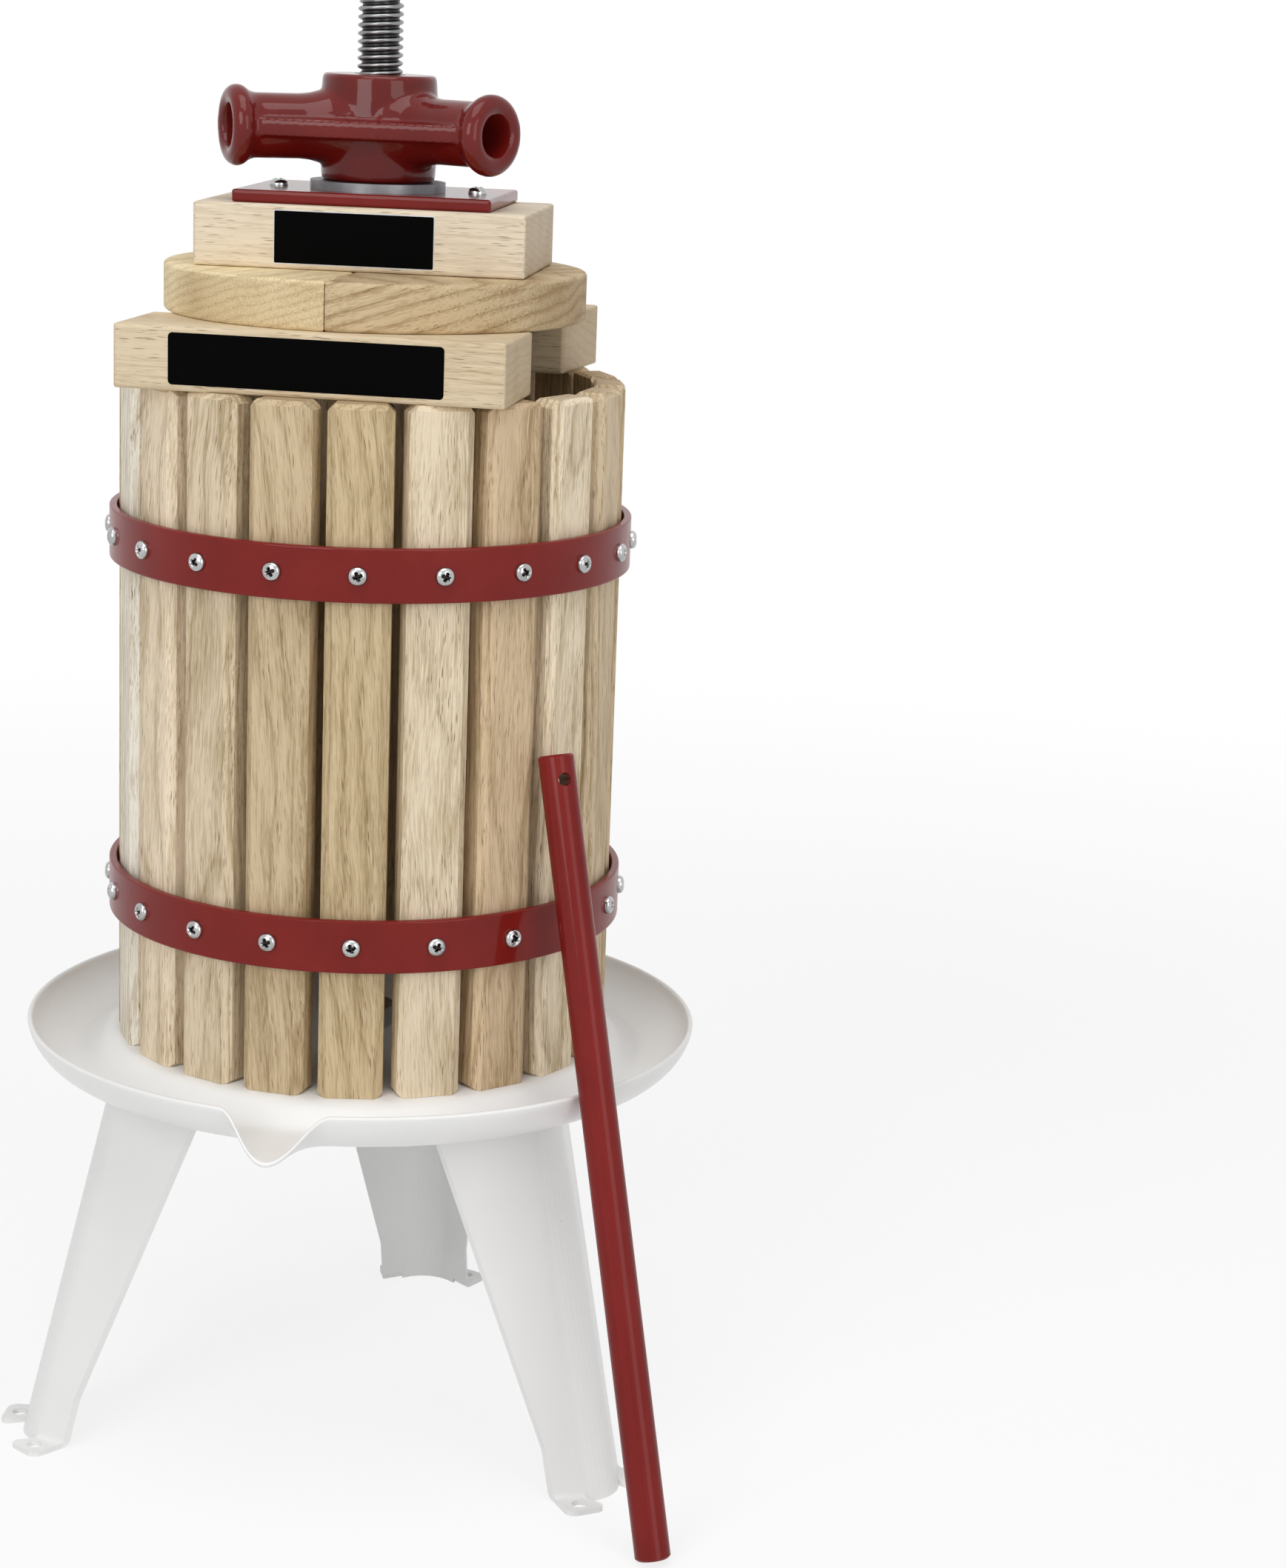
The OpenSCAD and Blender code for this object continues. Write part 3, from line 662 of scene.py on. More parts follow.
def make_object(name: str, points: Sequence[Sequence[float]], faces: Sequence[Sequence[int]],
                sharp_deg: float = 40.0) -> Thing:
    """Make a mesh object without doubled points, its faces turned outwards.

    Args:
        name: The piece's name.
        points: Vertices in metres.
        faces: Faces as vertex indices.
        sharp_deg: Edges bent more than this are shaded sharp.

    Returns:
        The new object, linked to the scene.
    """
    mesh = bpy.data.meshes.new(name)
    mesh.from_pydata([tuple(p) for p in points], [], [tuple(f) for f in faces])
    mesh.validate()
    tidy = bmesh.new()
    tidy.from_mesh(mesh)
    bmesh.ops.remove_doubles(tidy, verts=tidy.verts, dist=1e-7)
    bmesh.ops.recalc_face_normals(tidy, faces=tidy.faces)
    tidy.to_mesh(mesh)
    tidy.free()
    shade(mesh, sharp_deg)
    return add_object(name, mesh)


def ring_grid(rows: Sequence[Sequence[Vector]], close_rows: bool, close_columns: bool) -> Shape:
    """Join rows of equally many points into quads.

    Args:
        rows: The rows of points.
        close_rows: Whether the last row joins the first.
        close_columns: Whether the last point of a row joins its first.

    Returns:
        Points and faces.
    """
    n = len(rows[0])
    faces = []
    for k in range(len(rows) if close_rows else len(rows) - 1):
        row, after = k * n, (k + 1) % len(rows) * n
        for i in range(n if close_columns else n - 1):
            j = (i + 1) % n
            faces.append((row + i, row + j, after + j, after + i))
    return [p for row in rows for p in row], faces


def revolve(profile: Profile, steps: int) -> Shape:
    """Revolve a profile of (radius, height) about Z, closed at its ends where it meets the axis.

    Args:
        profile: The profile, in metres.
        steps: Points around the axis.

    Returns:
        Points and faces.
    """
    angles = [2 * pi * i / steps for i in range(steps)]
    rows = [[Vector((r * cos(a), r * sin(a), z)) for a in angles] for r, z in profile]
    return ring_grid(rows, False, True)


def join(forms: Iterable[tuple[Shape, Matrix]]) -> Shape:
    """Move each form to its place and gather them all in one list of points and one of faces.

    Args:
        forms: Each form with its place.

    Returns:
        Points and faces.
    """
    points: list[Vector] = []
    faces: list[tuple[int, ...]] = []
    for (form_points, form_faces), place in forms:
        base = len(points)
        points += [place @ p for p in form_points]
        faces += [tuple(base + i for i in f) for f in form_faces]
    return points, faces


def dress(thing: Thing, material: Material) -> None:
    """Give a new object its one material."""
    thing.data.materials.clear()
    thing.data.materials.append(material)


def dress_nodes(material: Material, *nodes: str) -> None:
    """Give carried-over CAD nodes their material.

    Args:
        material: The material.
        nodes: Names of the nodes.
    """
    for node in nodes:
        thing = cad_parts[node]
        if not thing.material_slots:
            thing.data.materials.append(material)
        for slot in thing.material_slots:
            slot.link = "OBJECT"
            slot.material = material
        LOG.info("dressed the CAD node %s", node)


def settle(thing: Thing, body: Body, slot: Slot, material: Material, *nodes: str) -> None:
    """Dress a new piece, make it ride on its body and hide the CAD nodes that it replaces.

    Args:
        thing: The piece.
        body: The body it rides on.
        slot: The record's slot its finish belongs to; it is not used.
        material: Its material.
        nodes: CAD nodes that it stands for.
    """
    dress(thing, material)
    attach(thing, body.value)
    if nodes:
        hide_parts(*nodes)
    LOG.info("made %s with %d faces", thing.name, len(thing.data.polygons))


# Sub-assemblies


@dataclass
class ThreadedSpindle:
    """The rolled thread over the whole length of the spindle."""

    sizes: PressSizes = SIZES
    around: int = 48
    per_turn: int = 8
    middle: float = 0.575
    swing: float = 0.92
    chamfer: float = 1.5 * MM
    sharp_deg: float = 60.0

    def radius(self, phase: float) -> float:
        """Radius of the thread's surface at a share of one pitch: a clipped and eased wave.

        Args:
            phase: Place within one pitch, from 0 to 1.

        Returns:
            The radius in metres.
        """
        s = self.sizes
        share = min(1.0, max(0.0, self.middle + self.swing * sin(2 * pi * phase)))
        return s.thread_root_r + (s.spindle_r - s.thread_root_r) * share * share * (3 - 2 * share)

    def point(self, row: int, step: int) -> Vector:
        """A point of the helical grid, drawn in by the chamfers at both ends.

        Args:
            row: Row of the grid.
            step: Step around the axis.

        Returns:
            The point.
        """
        s = self.sizes
        a = 2 * pi * step / self.around
        z = s.spindle_foot_z + s.thread_pitch * (row / self.per_turn + step / self.around - 1)
        end = min(z - s.spindle_foot_z, s.spindle_top_z - z)
        r = min(self.radius(row / self.per_turn), s.spindle_r - self.chamfer + max(end, 0.0))
        return Vector((r * cos(a), r * sin(a), z))

    def index(self, row: int, step: int) -> int:
        """A point's number; after a whole turn the grid goes on one pitch higher."""
        laps, step = divmod(step, self.around)
        return (row + laps * self.per_turn) * self.around + step

    def build(self) -> None:
        """Make the spindle with its thread and chamfered ends."""
        s = self.sizes
        rows = (ceil((s.spindle_top_z - s.spindle_foot_z) / s.thread_pitch) + 2) * self.per_turn
        points = [self.point(j, i) for j in range(rows + 1) for i in range(self.around)]
        quads = [(self.index(j, i), self.index(j, i + 1), self.index(j + 1, i + 1), self.index(j + 1, i))
                 for j in range(rows) for i in range(self.around)]
        faces = [quad for quad in quads if max(quad) < len(points)]
        thing = make_object("spindle_thread", points, faces, self.sharp_deg)
        cut = bmesh.new()
        cut.from_mesh(thing.data)
        for z, up in ((s.spindle_foot_z, -1), (s.spindle_top_z, 1)):
            whole = cut.verts[:] + cut.edges[:] + cut.faces[:]
            result = bmesh.ops.bisect_plane(cut, geom=whole, plane_co=(0, 0, z), plane_no=(0, 0, up),
                                            clear_outer=True)
            rim = [e for e in result["geom_cut"] if isinstance(e, bmesh.types.BMEdge)]
            bmesh.ops.holes_fill(cut, edges=rim, sides=0)
        bmesh.ops.recalc_face_normals(cut, faces=cut.faces)
        cut.to_mesh(thing.data)
        cut.free()
        shade(thing.data, self.sharp_deg)
        # The thread's steel carries painted shade in the thread's roots
        steel = BareSteel(linear(150, 150, 150), rough=0.26, oil=0.4, scale=0.8, groove_shade=(7.0, 8.5))
        settle(thing, Body.BASE, Slot.THREAD, steel.build("thread_steel"), "spindle")


@dataclass
class PressedTray:
    """The tray as one pressed sheet: platform, juice channel, flaring wall and spout."""

    sizes: PressSizes = SIZES
    slope_steps: int = 12
    wall_steps: int = 18
    edge_steps: int = 6
    spout_steps: int = 36
    rest_steps: int = 120
    inner_rings: Pair = (40 * MM, 75 * MM)
    sharp_deg: float = 60.0

    def slope(self) -> list[tuple[float, ...]]:
        """Stations (radius, height, down-r, down-z) on the upper surface, from platform to channel.

        Returns:
            The stations.
        """
        s = self.sizes
        run = s.channel_r - s.hoop_in_r
        line = []
        for i in range(self.slope_steps + 1):
            u = i / self.slope_steps
            steep = s.channel_depth * pi / 2 * sin(pi * u) / run
            size = hypot(steep, 1)
            height = s.tray_z - s.channel_depth * (1 - cos(pi * u)) / 2
            line.append((s.hoop_in_r + run * u, height, -steep / size, -1 / size))
        return line

    def wall(self, share: float) -> list[tuple[float, ...]]:
        """Stations from the channel to the edge: an arc that turns into the spout's floor.

        Args:
            share: 0 for the plain wall, 1 for the middle of the spout.

        Returns:
            The stations.
        """
        s = self.sizes
        channel_z = s.tray_z - s.channel_depth
        run = s.rim_r - s.tray_sheet - s.channel_r
        sweep = 2 * atan((s.channel_depth + s.rim_rise - s.tray_sheet / 2) / run)
        radius = run / sin(sweep)
        lip = s.rim_r + s.spout_reach - s.tray_sheet / 2 - s.channel_r
        line = []
        for i in range(1, self.wall_steps + 1):
            u = i / self.wall_steps
            sine, cosine = sin(sweep * u), cos(sweep * u)
            arc = (s.channel_r + radius * sine, channel_z + radius * (1 - cosine), sine, -cosine)
            spout = (s.channel_r + lip * u, channel_z - s.spout_drop * u, 0.0, -1.0)
            r, z, dr, dz = (a * (1 - share) + b * share for a, b in zip(arc, spout))
            size = hypot(dr, dz)
            line.append((r, z, dr / size, dz / size))
        return line

    def section(self, share: float) -> list[Pair]:
        """The sheet's closed section as (radius, height).

        Args:
            share: 0 for the plain wall, 1 for the middle of the spout.

        Returns:
            The section's points in order.
        """
        s = self.sizes
        line = self.slope() + self.wall(share)
        inner = [(r, s.tray_z) for r in (s.tray_bore_r, *self.inner_rings)]
        r, z, dr, dz = line[-1]
        half = s.tray_sheet / 2
        edge = []
        for k in range(1, self.edge_steps):
            a = pi * k / self.edge_steps
            out, down = half * sin(a), half * (1 - cos(a))
            edge.append((r + dr * down - dz * out, z + dz * down + dr * out))
        bottom = [(r + dr * s.tray_sheet, z + dz * s.tray_sheet) for r, z, dr, dz in reversed(line)]
        bottom += [(r, z - s.tray_sheet) for r, z in reversed(inner)]
        return inner + [(r, z) for r, z, _, _ in line] + edge + bottom

    def build(self) -> None:
        """Make the tray."""
        half = self.sizes.spout_half
        turns = [half * (2 * k / self.spout_steps - 1) for k in range(self.spout_steps + 1)]
        turns += [half + (360 - 2 * half) * k / self.rest_steps for k in range(1, self.rest_steps)]
        rows = []
        for turn in turns:
            share = 0.5 * (1 + cos(pi * turn / half)) if abs(turn) < half else 0.0
            rows.append([polar(r, self.sizes.spout_turn + turn, z) for r, z in self.section(share)])
        thing = make_object("tray_sheet", *ring_grid(rows, True, True), self.sharp_deg)
        settle(thing, Body.BASE, Slot.WHITE, PowderCoat().build("tray_powder_coat"), "tray")


@dataclass
class PanScrews:
    """Pan head screws with a cross recess, as one piece of many separate solids.

    Attributes:
        node: The CAD node that the piece stands for.
        places: Each screw's seat and the direction that its head faces.
        cells: Squares along a side of the grid that is pressed round.
        rim: Share of the head's height below its dome.
        arm_side: Width of the slope beside an arm of the recess.
        arm_end: Length of the slope at its end.
        seat: Height up to which a point belongs to the head's foot, which gets no painted shade.
        spins: Degrees that the first screw is turned, and each one further than the one before.
    """

    name: str
    node: str
    body: Body
    places: list[tuple[Vector, Vector]]
    sizes: PressSizes = SIZES
    cells: int = 22
    rim: float = 0.3
    flatness: float = 2.4
    recess_depth: float = 1.4 * MM
    arm_half_w: float = 0.62 * MM
    arm_side: float = 0.22 * MM
    arm_reach: float = 1.95 * MM
    arm_end: float = 0.75 * MM
    seat: float = 0.3 * MM
    spins: Pair = (20.0, 137.5)
    sharp_deg: float = 38.0

    def dome(self, r: float) -> float:
        """Height of the dome at a share of the head's radius, without the recess."""
        curve = sqrt(max(0.0, 1 - min(1.0, r) ** self.flatness))
        return self.sizes.screw_head_h * (self.rim + (1 - self.rim) * curve)

    def recess(self, x: float, y: float) -> float:
        """Share of the recess's depth at a place on the head, its arms along X and Y.

        Args:
            x: Distance from the head's middle along one arm.
            y: The same along the other arm.

        Returns:
            The share from 0 to 1.
        """
        arm, across = max(abs(x), abs(y)), min(abs(x), abs(y))
        side = min(1.0, max(0.0, (self.arm_half_w - across) / self.arm_side))
        return side * min(1.0, max(0.0, (self.arm_reach - arm) / self.arm_end))

    def head(self, spin: float) -> Shape:
        """One head, seated on z = 0.

        Args:
            spin: Turn of the recess in degrees.

        Returns:
            Points and faces.
        """
        radius, n = self.sizes.screw_head_r, self.cells
        c, s = cos(radians(spin)), sin(radians(spin))
        rows = []
        for j in range(n + 1):
            row = []
            for i in range(n + 1):
                u, v = 2 * i / n - 1, 2 * j / n - 1
                # A square grid pressed round
                x, y = u * sqrt(1 - v * v / 2), v * sqrt(1 - u * u / 2)
                lost = self.recess_depth * self.recess((x * c + y * s) * radius, (y * c - x * s) * radius)
                row.append(Vector((x * radius, y * radius, self.dome(hypot(x, y)) - lost)))
            rows.append(row)
        points, faces = ring_grid(rows, False, False)
        edge = [j * (n + 1) for j in range(n)] + [n * (n + 1) + i for i in range(n)]
        edge += [j * (n + 1) + n for j in range(n, 0, -1)] + list(range(n, 0, -1))
        base, count = len(points), len(edge)
        points += [Vector((points[k].x, points[k].y, 0.0)) for k in edge]
        faces += [(edge[k], edge[(k + 1) % count], base + (k + 1) % count, base + k) for k in range(count)]
        faces.append(tuple(range(base, base + count)))
        return points, faces

    def build(self, material: Material) -> None:
        """Make all screws.

        Args:
            material: The heads' material.
        """
        first, step = self.spins
        heads = [(self.head((k * step + first) % 90), Matrix.Translation(place) @ facing(outward))
                 for k, (place, outward) in enumerate(self.places)]
        thing = make_object(self.name, *join(heads), self.sharp_deg)
        self.mark_recess(thing)
        settle(thing, self.body, Slot.ZINC, material, self.node)

    def mark_recess(self, thing: Thing) -> None:
        """Store how deep each point lies in its head's recess, for the finish to paint shade there.

        Args:
            thing: The piece with all heads.
        """
        depth = thing.data.attributes.new("recess", "FLOAT", "POINT")
        for vertex in thing.data.vertices:
            place, outward = min(self.places, key=lambda pair: (pair[0] - vertex.co).length_squared)
            rise = (vertex.co - place).dot(outward)
            off = ((vertex.co - place) - outward * rise).length
            share = (self.dome(off / self.sizes.screw_head_r) - rise) / self.recess_depth
            depth.data[vertex.index].value = min(1.0, max(0.0, share)) if rise > self.seat else 0.0


@dataclass
class CastNut:
    """The cast nut: hub, three socketed arms with beaded mouths, and the web between them.

    Attributes:
        collar: The hub's edge, and how far it swells at the web.
        root: Radius and distance from the axis along an arm's thicker root, in millimetres.
        web_corner_r: Distance of the web's three untrimmed corners from the axis.
        web_trim: Share of the web's side that is cut off at each corner.
        over: How far a drill stands out of the casting.
        flare: Radius beyond the arm's and distance beyond its neck, in millimetres, as it widens.
    """

    sizes: PressSizes = SIZES
    voxel: float = 0.75 * MM
    smoothing: int = 9
    hub_r: float = 21.4 * MM
    collar: float = 1 * MM
    root: tuple[Pair, ...] = ((17.5, 0), (17.5, 16), (16, 18.5), (13.6, 22.5), (12.4, 27), (12, 31))
    arm_r: float = 12.0 * MM
    bead_r: float = 15.0 * MM
    bead_round: float = 4.2 * MM
    web_half: float = 3.2 * MM
    web_corner_r: float = 72 * MM
    web_trim: float = 0.135
    bore_r: float = 8.6 * MM
    bore_edge: float = 1.3 * MM
    socket_reach: float = 59.4 * MM
    socket_depth: float = 35.0 * MM
    socket_r: float = 7.5 * MM
    mouth: float = 0.5 * MM
    mouth_depth: float = 2.4 * MM
    over: float = 2 * MM
    flare: tuple[Pair, ...] = ((0, -2.2), (0.9, 0.2))
    bead_degrees: range = range(-50, 147, 14)
    around: int = 96
    arm_around: int = 64
    sharp_deg: float = 32.0

    def arm(self) -> Shape:
        """One arm along Z, from the axis to the dished face inside its bead, not yet drilled.

        Returns:
            Points and faces.
        """
        bead_z = self.socket_reach - self.bead_round
        neck = bead_z - self.bead_round
        profile = [(0.0, 0.0), *((r * MM, z * MM) for r, z in self.root)]
        profile += [(self.arm_r + r * MM, neck + z * MM) for r, z in self.flare]
        for degrees in self.bead_degrees:
            a = radians(degrees)
            r = self.bead_r + self.bead_round * (cos(a) - 1)
            profile.append((r, bead_z + self.bead_round * sin(a)))
        return revolve(profile + [(0.0, profile[-1][1])], self.arm_around)

    def hub(self) -> Shape:
        """The hub, which swells a little at the web.

        Returns:
            Points and faces.
        """
        half, r, c = self.sizes.nut_h / 2, self.hub_r, self.collar
        upper = [(r + c, self.web_half), (r, half - c), (r - c, half), (0.0, half)]
        return revolve([(x, -z) for x, z in reversed(upper)] + upper, self.around)

    def web(self, turns: Sequence[float]) -> Shape:
        """The web: a triangle between the arms with its corners cut off.

        Args:
            turns: Turn of each arm.

        Returns:
            Points and faces.
        """
        corners = [polar(self.web_corner_r, turn) for turn in turns]
        outline = [a.lerp(b, share) for a, b in zip(corners, corners[1:] + corners[:1])
                   for share in (self.web_trim, 1 - self.web_trim)]
        rows = [[p + UP * z for p in outline] for z in (-self.web_half, self.web_half)]
        points, faces = ring_grid(rows, False, True)
        n = len(outline)
        return points, faces + [tuple(range(n - 1, -1, -1)), tuple(range(n, 2 * n))]

    def build(self) -> None:
        """Fuse the closed forms by a fine remesh, smooth them like a fettled casting and drill them."""
        turns = [self.sizes.nut_turn + 120 * k for k in range(3)]
        lift = Matrix.Translation((0, 0, self.sizes.nut_mid_z))
        outward = [lift @ facing(polar(1.0, turn)) for turn in turns]
        forms = [(self.hub(), lift), *((self.arm(), place) for place in outward), (self.web(turns), lift)]
        thing = make_object("cast_nut", *join(forms))
        self.change(thing, "REMESH", mode="VOXEL", voxel_size=self.voxel)
        self.change(thing, "SMOOTH", factor=0.5, iterations=self.smoothing)
        self.drill(thing, self.bore(), lift)
        for place in outward:
            self.drill(thing, self.socket(), place)
        shade(thing.data, self.sharp_deg)
        paint = Enamel(linear(112, 22, 17), 0.24, 0.5, 0.02, texture=0.12 * MM, grain=0.35)
        settle(thing, Body.NUT, Slot.PAINT, paint.build("nut_enamel"), "press_nut")

    @staticmethod
    def change(thing: Thing, kind: str, **settings: object) -> None:
        """Run one modifier and keep its result.

        Args:
            thing: The object.
            kind: The modifier's type.
            settings: The modifier's attributes.
        """
        modifier = thing.modifiers.new("change", kind)
        for key, value in settings.items():
            setattr(modifier, key, value)
        graph = bpy.context.evaluated_depsgraph_get()
        graph.update()
        done = bpy.data.meshes.new_from_object(thing.evaluated_get(graph))
        thing.modifiers.clear()
        thing.data = done

    def bore(self) -> Profile:
        """Profile of the spindle's bore with a chamfer at each end.

        Returns:
            The profile.
        """
        half, r, c = self.sizes.nut_h / 2, self.bore_r, self.bore_edge
        upper = [(r, half - c), (r + c, half), (r + c + self.over, half + self.over), (0.0, half + self.over)]
        return [(x, -z) for x, z in reversed(upper)] + upper

    def socket(self) -> Profile:
        """Profile of a blind lever socket with its rounded mouth.

        Returns:
            The profile.
        """
        reach, r, m, deep = self.socket_reach, self.socket_r, self.mouth, self.mouth_depth
        floor, top = reach - self.socket_depth, reach + self.over
        mouth = [(r, reach - deep), (r + m, reach - deep / 2), (r + 4 * m, top)]
        return [(0.0, floor), (r, floor), *mouth, (0.0, top)]

    def drill(self, thing: Thing, profile: Profile, place: Matrix) -> None:
        """Take a revolved profile out of the casting.

        Args:
            thing: The casting.
            profile: Profile of what is taken out.
            place: Place of its axis.
        """
        tool = make_object("nut_drill", *join([(revolve(profile, self.around), place)]))
        self.change(thing, "BOOLEAN", operation="DIFFERENCE", solver="EXACT", object=tool)
        bpy.data.objects.remove(tool)


@dataclass
class BlankLabel:
    """A self-adhesive label with rounded corners, left without print.

    Attributes:
        middle: Middle of the block that it sticks to.
        turn: Turn of that block.
        offset: How far it lies to the right of that middle, and in front of it.
        size: Width and height.
        border: Width of the bright border, or 0.
        bevel: How far its upper edge is drawn in.
    """

    name: str
    body: Body
    middle: Vector
    turn: float
    offset: Pair
    size: Pair
    border: float = 0.0
    corner: float = 1.6 * MM
    corner_steps: int = 6
    thick: float = 0.16 * MM
    bevel: float = 0.05 * MM
    sharp_deg: float = 30.0

    def sheet(self, name: str, inset: float, corner: float, lift: float, material: Material) -> None:
        """Make one rounded sheet that lies on the face.

        Args:
            name: The sheet's name.
            inset: How far its sides lie inside the label's.
            corner: Radius of its corners.
            lift: Height of its underside above the face.
            material: Its material.
        """
        width, height = (side - 2 * inset for side in self.size)
        outline = []
        for x, y, start in ((1, 1, 0), (-1, 1, 90), (-1, -1, 180), (1, -1, 270)):
            for k in range(self.corner_steps + 1):
                a = radians(start + 90 * k / self.corner_steps)
                outline.append((x * (width / 2 - corner) + corner * cos(a),
                                y * (height / 2 - corner) + corner * sin(a)))
        across, outward = polar(1.0, self.turn + 90), polar(1.0, self.turn)
        centre = self.middle + across * self.offset[0] + outward * (self.offset[1] + lift)
        rows = []
        for edge, out in ((0.0, 0.0), (0.0, self.thick - self.bevel), (self.bevel, self.thick)):
            along, upright = across * (1 - 2 * edge / width), UP * (1 - 2 * edge / height)
            rows.append([centre + along * x + upright * y + outward * out for x, y in outline])
        points, faces = ring_grid(rows, False, True)
        n = len(outline)
        faces += [tuple(reversed(range(n))), tuple(range(2 * n, 3 * n))]
        settle(make_object(name, points, faces, self.sharp_deg), self.body, Slot.BLOCK, material)

    def build(self) -> None:
        """Make the label: a bright border, if it has one, and the ink."""
        ink = Foil().build(f"{self.name}_ink")
        if not self.border:
            self.sheet(self.name, 0.0, self.corner, 0.0, ink)
            return
        silver = Foil(linear(196, 198, 200)).build(f"{self.name}_silver")
        self.sheet(f"{self.name}_border", 0.0, self.corner, 0.0, silver)
        self.sheet(self.name, self.border, self.corner / 2, self.thick / 2, ink)


@dataclass
class Woodwork:
    """Finishes of the staves, blocks and half discs, each cut from its own board.

    Attributes:
        matched: Display colours of the staves that the photograph shows, by their number from the front.
        plain: Display colour of the others, before each is shifted a little.
        late: What the late wood keeps of a stave's red, green and blue.
        rng: Source of each board's own figure.
    """

    sizes: PressSizes = SIZES
    matched: dict[int, Colour] = field(default_factory=lambda: {
        0: (211, 189, 150), 1: (236, 219, 190), 2: (220, 195, 160), 3: (248, 232, 204), 4: (226, 205, 172),
        16: (252, 245, 230), 17: (248, 230, 202), 18: (228, 210, 180), 19: (210, 188, 152)})
    plain: Colour = (218, 195, 160)
    late: Colour = (0.75, 0.71, 0.62)
    rng: np.random.Generator = field(default_factory=lambda: np.random.default_rng(6))

    def draw(self, low: float, high: float) -> float:
        """The next random number between two bounds."""
        return float(self.rng.uniform(low, high))

    def staves(self) -> None:
        """Dress the staves."""
        shifts = [self.draw(-8, 8) for _ in range(self.sizes.stave_count)]
        for k, (shift, turn) in enumerate(zip(shifts, self.sizes.stave_turns())):
            base = self.matched.get(k, tuple(c + shift for c in self.plain))
            dark = linear(*(c * f for c, f in zip(base, self.late)))
            oak = Oak(linear(*base), dark, turn, heart=(self.draw(-60, 60), self.draw(15, 150)),
                      ring=self.draw(2.6, 4.6), contrast=self.draw(0.45, 0.8), seed=k + 1,
                      slope=self.draw(-5, 5))
            dress_nodes(oak.build(f"oak_stave_{k + 1:02d}"), f"stave_{k + 1:02d}")

    def boards(self) -> None:
        """Dress the blocks and the half discs, whose grain lies flat."""
        s = self.sizes
        pale = (linear(221, 203, 172), linear(188, 165, 130))
        top = (linear(232, 218, 195), linear(204, 186, 158))
        left = (linear(248, 230, 186), linear(206, 182, 138))
        right = (linear(206, 184, 146), linear(160, 132, 92))
        for node, oak in {
            "lower_block_front": Oak(*pale, s.front_block_turn, (30, 60), 3.4, 0.45, 31, lying=True),
            "lower_block_rear": Oak(*pale, -20, (-40, 70), 3.8, 0.5, 32, lying=True),
            "top_block": Oak(*top, s.head_turn, (20, 80), 3.0, 0.45, 33, lying=True),
            "half_disc_left": Oak(*left, 62, (25, 120), 3.6, 0.6, 34, lying=True),
            "half_disc_right": Oak(*right, -6, (30, 60), 5.2, 0.95, 35, slope=16, lying=True),
        }.items():
            dress_nodes(oak.build(f"oak_{node}"), node)


@dataclass
class Hardware:
    """Screws, hidden fixings, and painted or plain steel pieces that keep their CAD shape."""

    sizes: PressSizes = SIZES

    def screws(self) -> None:
        """Make the hoop screws and the plate screws."""
        s = self.sizes
        # The screws' plating carries painted shade in the cross recesses
        plating = BareSteel(paints_recess_shade=True).build("screw_plating")
        hoop_out_r = s.hoop_in_r + s.hoop_sheet
        for name, z in (("upper_hoop_screws", s.upper_hoop_z), ("lower_hoop_screws", s.lower_hoop_z)):
            places = [(polar(hoop_out_r, turn, z), polar(1.0, turn)) for turn in s.stave_turns()]
            PanScrews(f"{name}_heads", name, Body.BASKET, places).build(plating)
        sides = (-s.plate_screw_x, s.plate_screw_x)
        places = [(polar(x, s.head_turn + 90, s.plate_top_z), UP) for x in sides]
        PanScrews("plate_screw_heads", "plate_screws", Body.HEAD, places).build(plating)

    def steelwork(self) -> None:
        """Dress the steel nodes."""
        dress_nodes(BareSteel().build("bright_plating"), "base_nut", "base_washer", "lock_nut")
        hoop = Enamel(linear(130, 28, 22), 0.34, 0.35, 0.07, texture=0.04 * MM)
        dress_nodes(hoop.build("hoop_enamel"), "upper_hoop", "lower_hoop")
        plate = Enamel(linear(122, 26, 20), 0.22, 0.35, 0.05, texture=0.3 * MM, grain=0.10)
        dress_nodes(plate.build("plate_enamel"), "pressure_plate")
        lever = Enamel(linear(117, 25, 22), 0.30, 0.22, 0.06, streaks=self.sizes.lever_line)
        dress_nodes(lever.build("lever_enamel"), "lever")
        washer = BareSteel(linear(138, 138, 141), rough=0.40, oil=0.3, scale=0.4)
        dress_nodes(washer.build("washer_steel"), "thrust_washer")
        dress_nodes(PowderCoat().build("leg_powder_coat"), "leg_front_left", "leg_front_right", "leg_rear")


def make_labels(s: PressSizes = SIZES) -> None:
    """Make the two blank labels, each a little left of its block's middle.

    Args:
        s: The frame's sizes.
    """
    front = Vector((s.front_block_x, s.front_block_y, s.stave_top_z + s.block_h / 2))
    BlankLabel("front_label", Body.FRONT_BLOCK, front, s.front_block_turn, offset=(-0.9 * MM, s.block_half_w),
               size=(101.8 * MM, 18.8 * MM)).build()
    top = UP * (s.top_block_z + s.block_h / 2)
    BlankLabel("rating_label", Body.HEAD, top, s.head_turn, offset=(-1.7 * MM, s.top_block_half_w),
               size=(60.2 * MM, 19.8 * MM), border=0.35 * MM, corner=1.0 * MM).build()


# Studio


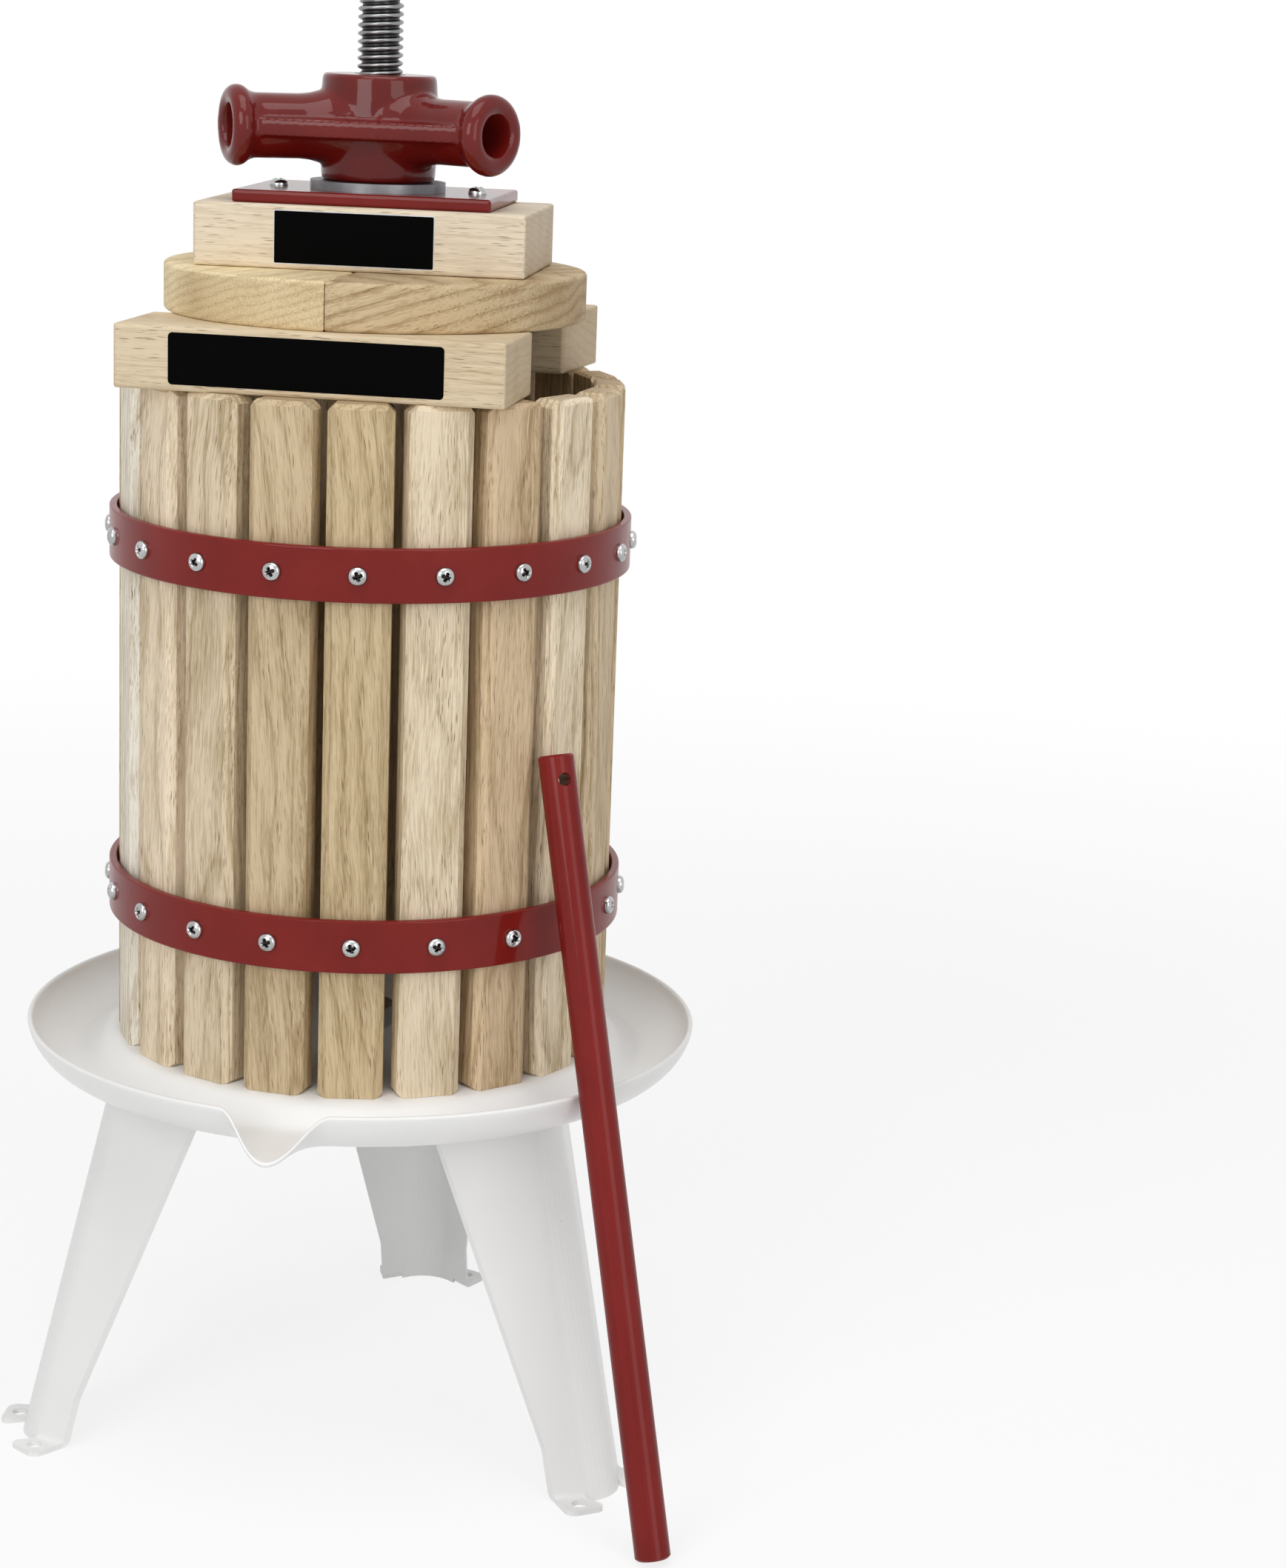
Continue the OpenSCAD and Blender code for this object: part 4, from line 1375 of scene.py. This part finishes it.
@dataclass(frozen=True)
class PhotoCamera:
    """The photograph's camera, solved from rims, hoops, stave rows and feet.

    Attributes:
        yaw: Radians that it is turned from +Y towards +X; pitch tilts it below the horizon.
        focal_px: Focal length in pixels of the photograph.
    """

    place: Point = (0.0, -1.2879, 0.5688)
    yaw: float = 0.0844
    pitch: float = 0.2340
    roll: float = 0.0379
    focal_px: float = 4526.2
    height_px: int = 2117
    sensor_mm: float = 36.0

    def build(self) -> None:
        """Make the camera and give it to the scene."""
        data = bpy.data.cameras.new("photo_camera")
        data.sensor_fit = "AUTO"
        data.sensor_width = self.sensor_mm
        data.lens = self.focal_px * self.sensor_mm / self.height_px
        camera = add_object("photo_camera", data)
        matrix = Matrix.Translation(self.place)
        for angle, axis in ((-self.yaw, "Z"), (pi / 2 - self.pitch, "X"), (self.roll, "Z")):
            matrix @= Matrix.Rotation(angle, 4, axis)
        camera.matrix_world = matrix
        bpy.context.scene.camera = camera


@dataclass(frozen=True)
class SoftBox:
    """One large area light, its place and size in metres."""

    name: str
    place: Point
    size: Pair
    watts: float

    def build(self, target: Vector) -> None:
        """Make the light and aim it.

        Args:
            target: The point that it faces.
        """
        data = bpy.data.lights.new(self.name, "AREA")
        data.shape = "RECTANGLE"
        data.size, data.size_y = self.size
        data.energy = self.watts
        lamp = add_object(self.name, data)
        lamp.location = self.place
        lamp.rotation_euler = (target - Vector(self.place)).to_track_quat("-Z", "Y").to_euler()


@dataclass(frozen=True)
class Studio:
    """Pale floor, white surroundings and soft lights.

    Attributes:
        ambient: Strength of the surroundings' light on surfaces.
        bleach: Share of plain white that is seen in the floor, so that only soft shadows are left on it.
        fade: Distance in metres at which the floor is all white.
    """

    lights: tuple[SoftBox, ...] = (
        SoftBox("key_light", (-1.3, -2.2, 1.3), (1.4, 1.4), 20.5),
        SoftBox("fill_light", (1.5, -2.2, 0.9), (1.2, 1.6), 11.5),
        SoftBox("top_light", (0.0, -0.7, 2.3), (1.6, 1.6), 19.5),
    )
    target: Point = (0.0, 0.0, 0.28)
    ambient: float = 0.35
    bleach: float = 0.8
    fade: float = 1.6
    floor_half: float = 20.0

    WHITE = (1.0, 1.0, 1.0, 1.0)
    PAPER = (0.9, 0.9, 0.9, 1.0)

    def floor(self) -> None:
        """Make a wide pale floor, which fades to white away from the object."""
        half = self.floor_half
        corners = [(-half, -half, 0), (half, -half, 0), (half, half, 0), (-half, half, 0)]
        thing = make_object("studio_floor", corners, [(0, 1, 2, 3)])
        g = new_graph("studio_paper")
        away = g.calc("DIVIDE", g.vector("LENGTH", g.add("TexCoord").outputs["Object"]), self.fade)
        bleach = g.ramp(away, (0.0, self.bleach), (0.35, self.bleach), (1.0, 1.0))
        paper = g.add("BsdfDiffuse", {"Color": self.PAPER, "Roughness": 0.5})
        glow = g.add("Emission", {"Color": self.WHITE, "Strength": 1.0})
        g.blend(g.times(g.seen(), bleach), paper, glow, "OutputMaterial")
        dress(thing, g.owner)

    def world(self) -> None:
        """Make white surroundings, brighter to the camera than to the surfaces."""
        g = Graph(bpy.data.worlds.new("studio_world"))
        lit = g.add("Background", {"Color": self.WHITE, "Strength": self.ambient})
        plain = g.add("Background", {"Color": self.WHITE, "Strength": 1.0})
        g.blend(g.seen(), lit, plain, "OutputWorld")
        bpy.context.scene.world = g.owner

    def build(self) -> None:
        """Make floor, surroundings, lights and the view settings."""
        self.floor()
        self.world()
        for light in self.lights:
            light.build(Vector(self.target))
        bpy.context.scene.view_settings.view_transform = "Standard"


def plain(bounds: Sequence[Sequence[float]]) -> list[list[float]]:
    """A box as plain lists of numbers."""
    return [[float(v) for v in corner] for corner in bounds]


def main() -> None:
    """Build camera, press and studio, sub-assembly by sub-assembly."""
    PhotoCamera().build()
    ThreadedSpindle().build()
    PressedTray().build()
    CastNut().build()
    hardware = Hardware()
    hardware.screws()
    hardware.steelwork()
    woodwork = Woodwork()
    woodwork.staves()
    woodwork.boards()
    make_labels()
    Studio().build()


if __name__ == "__main__":
    main()
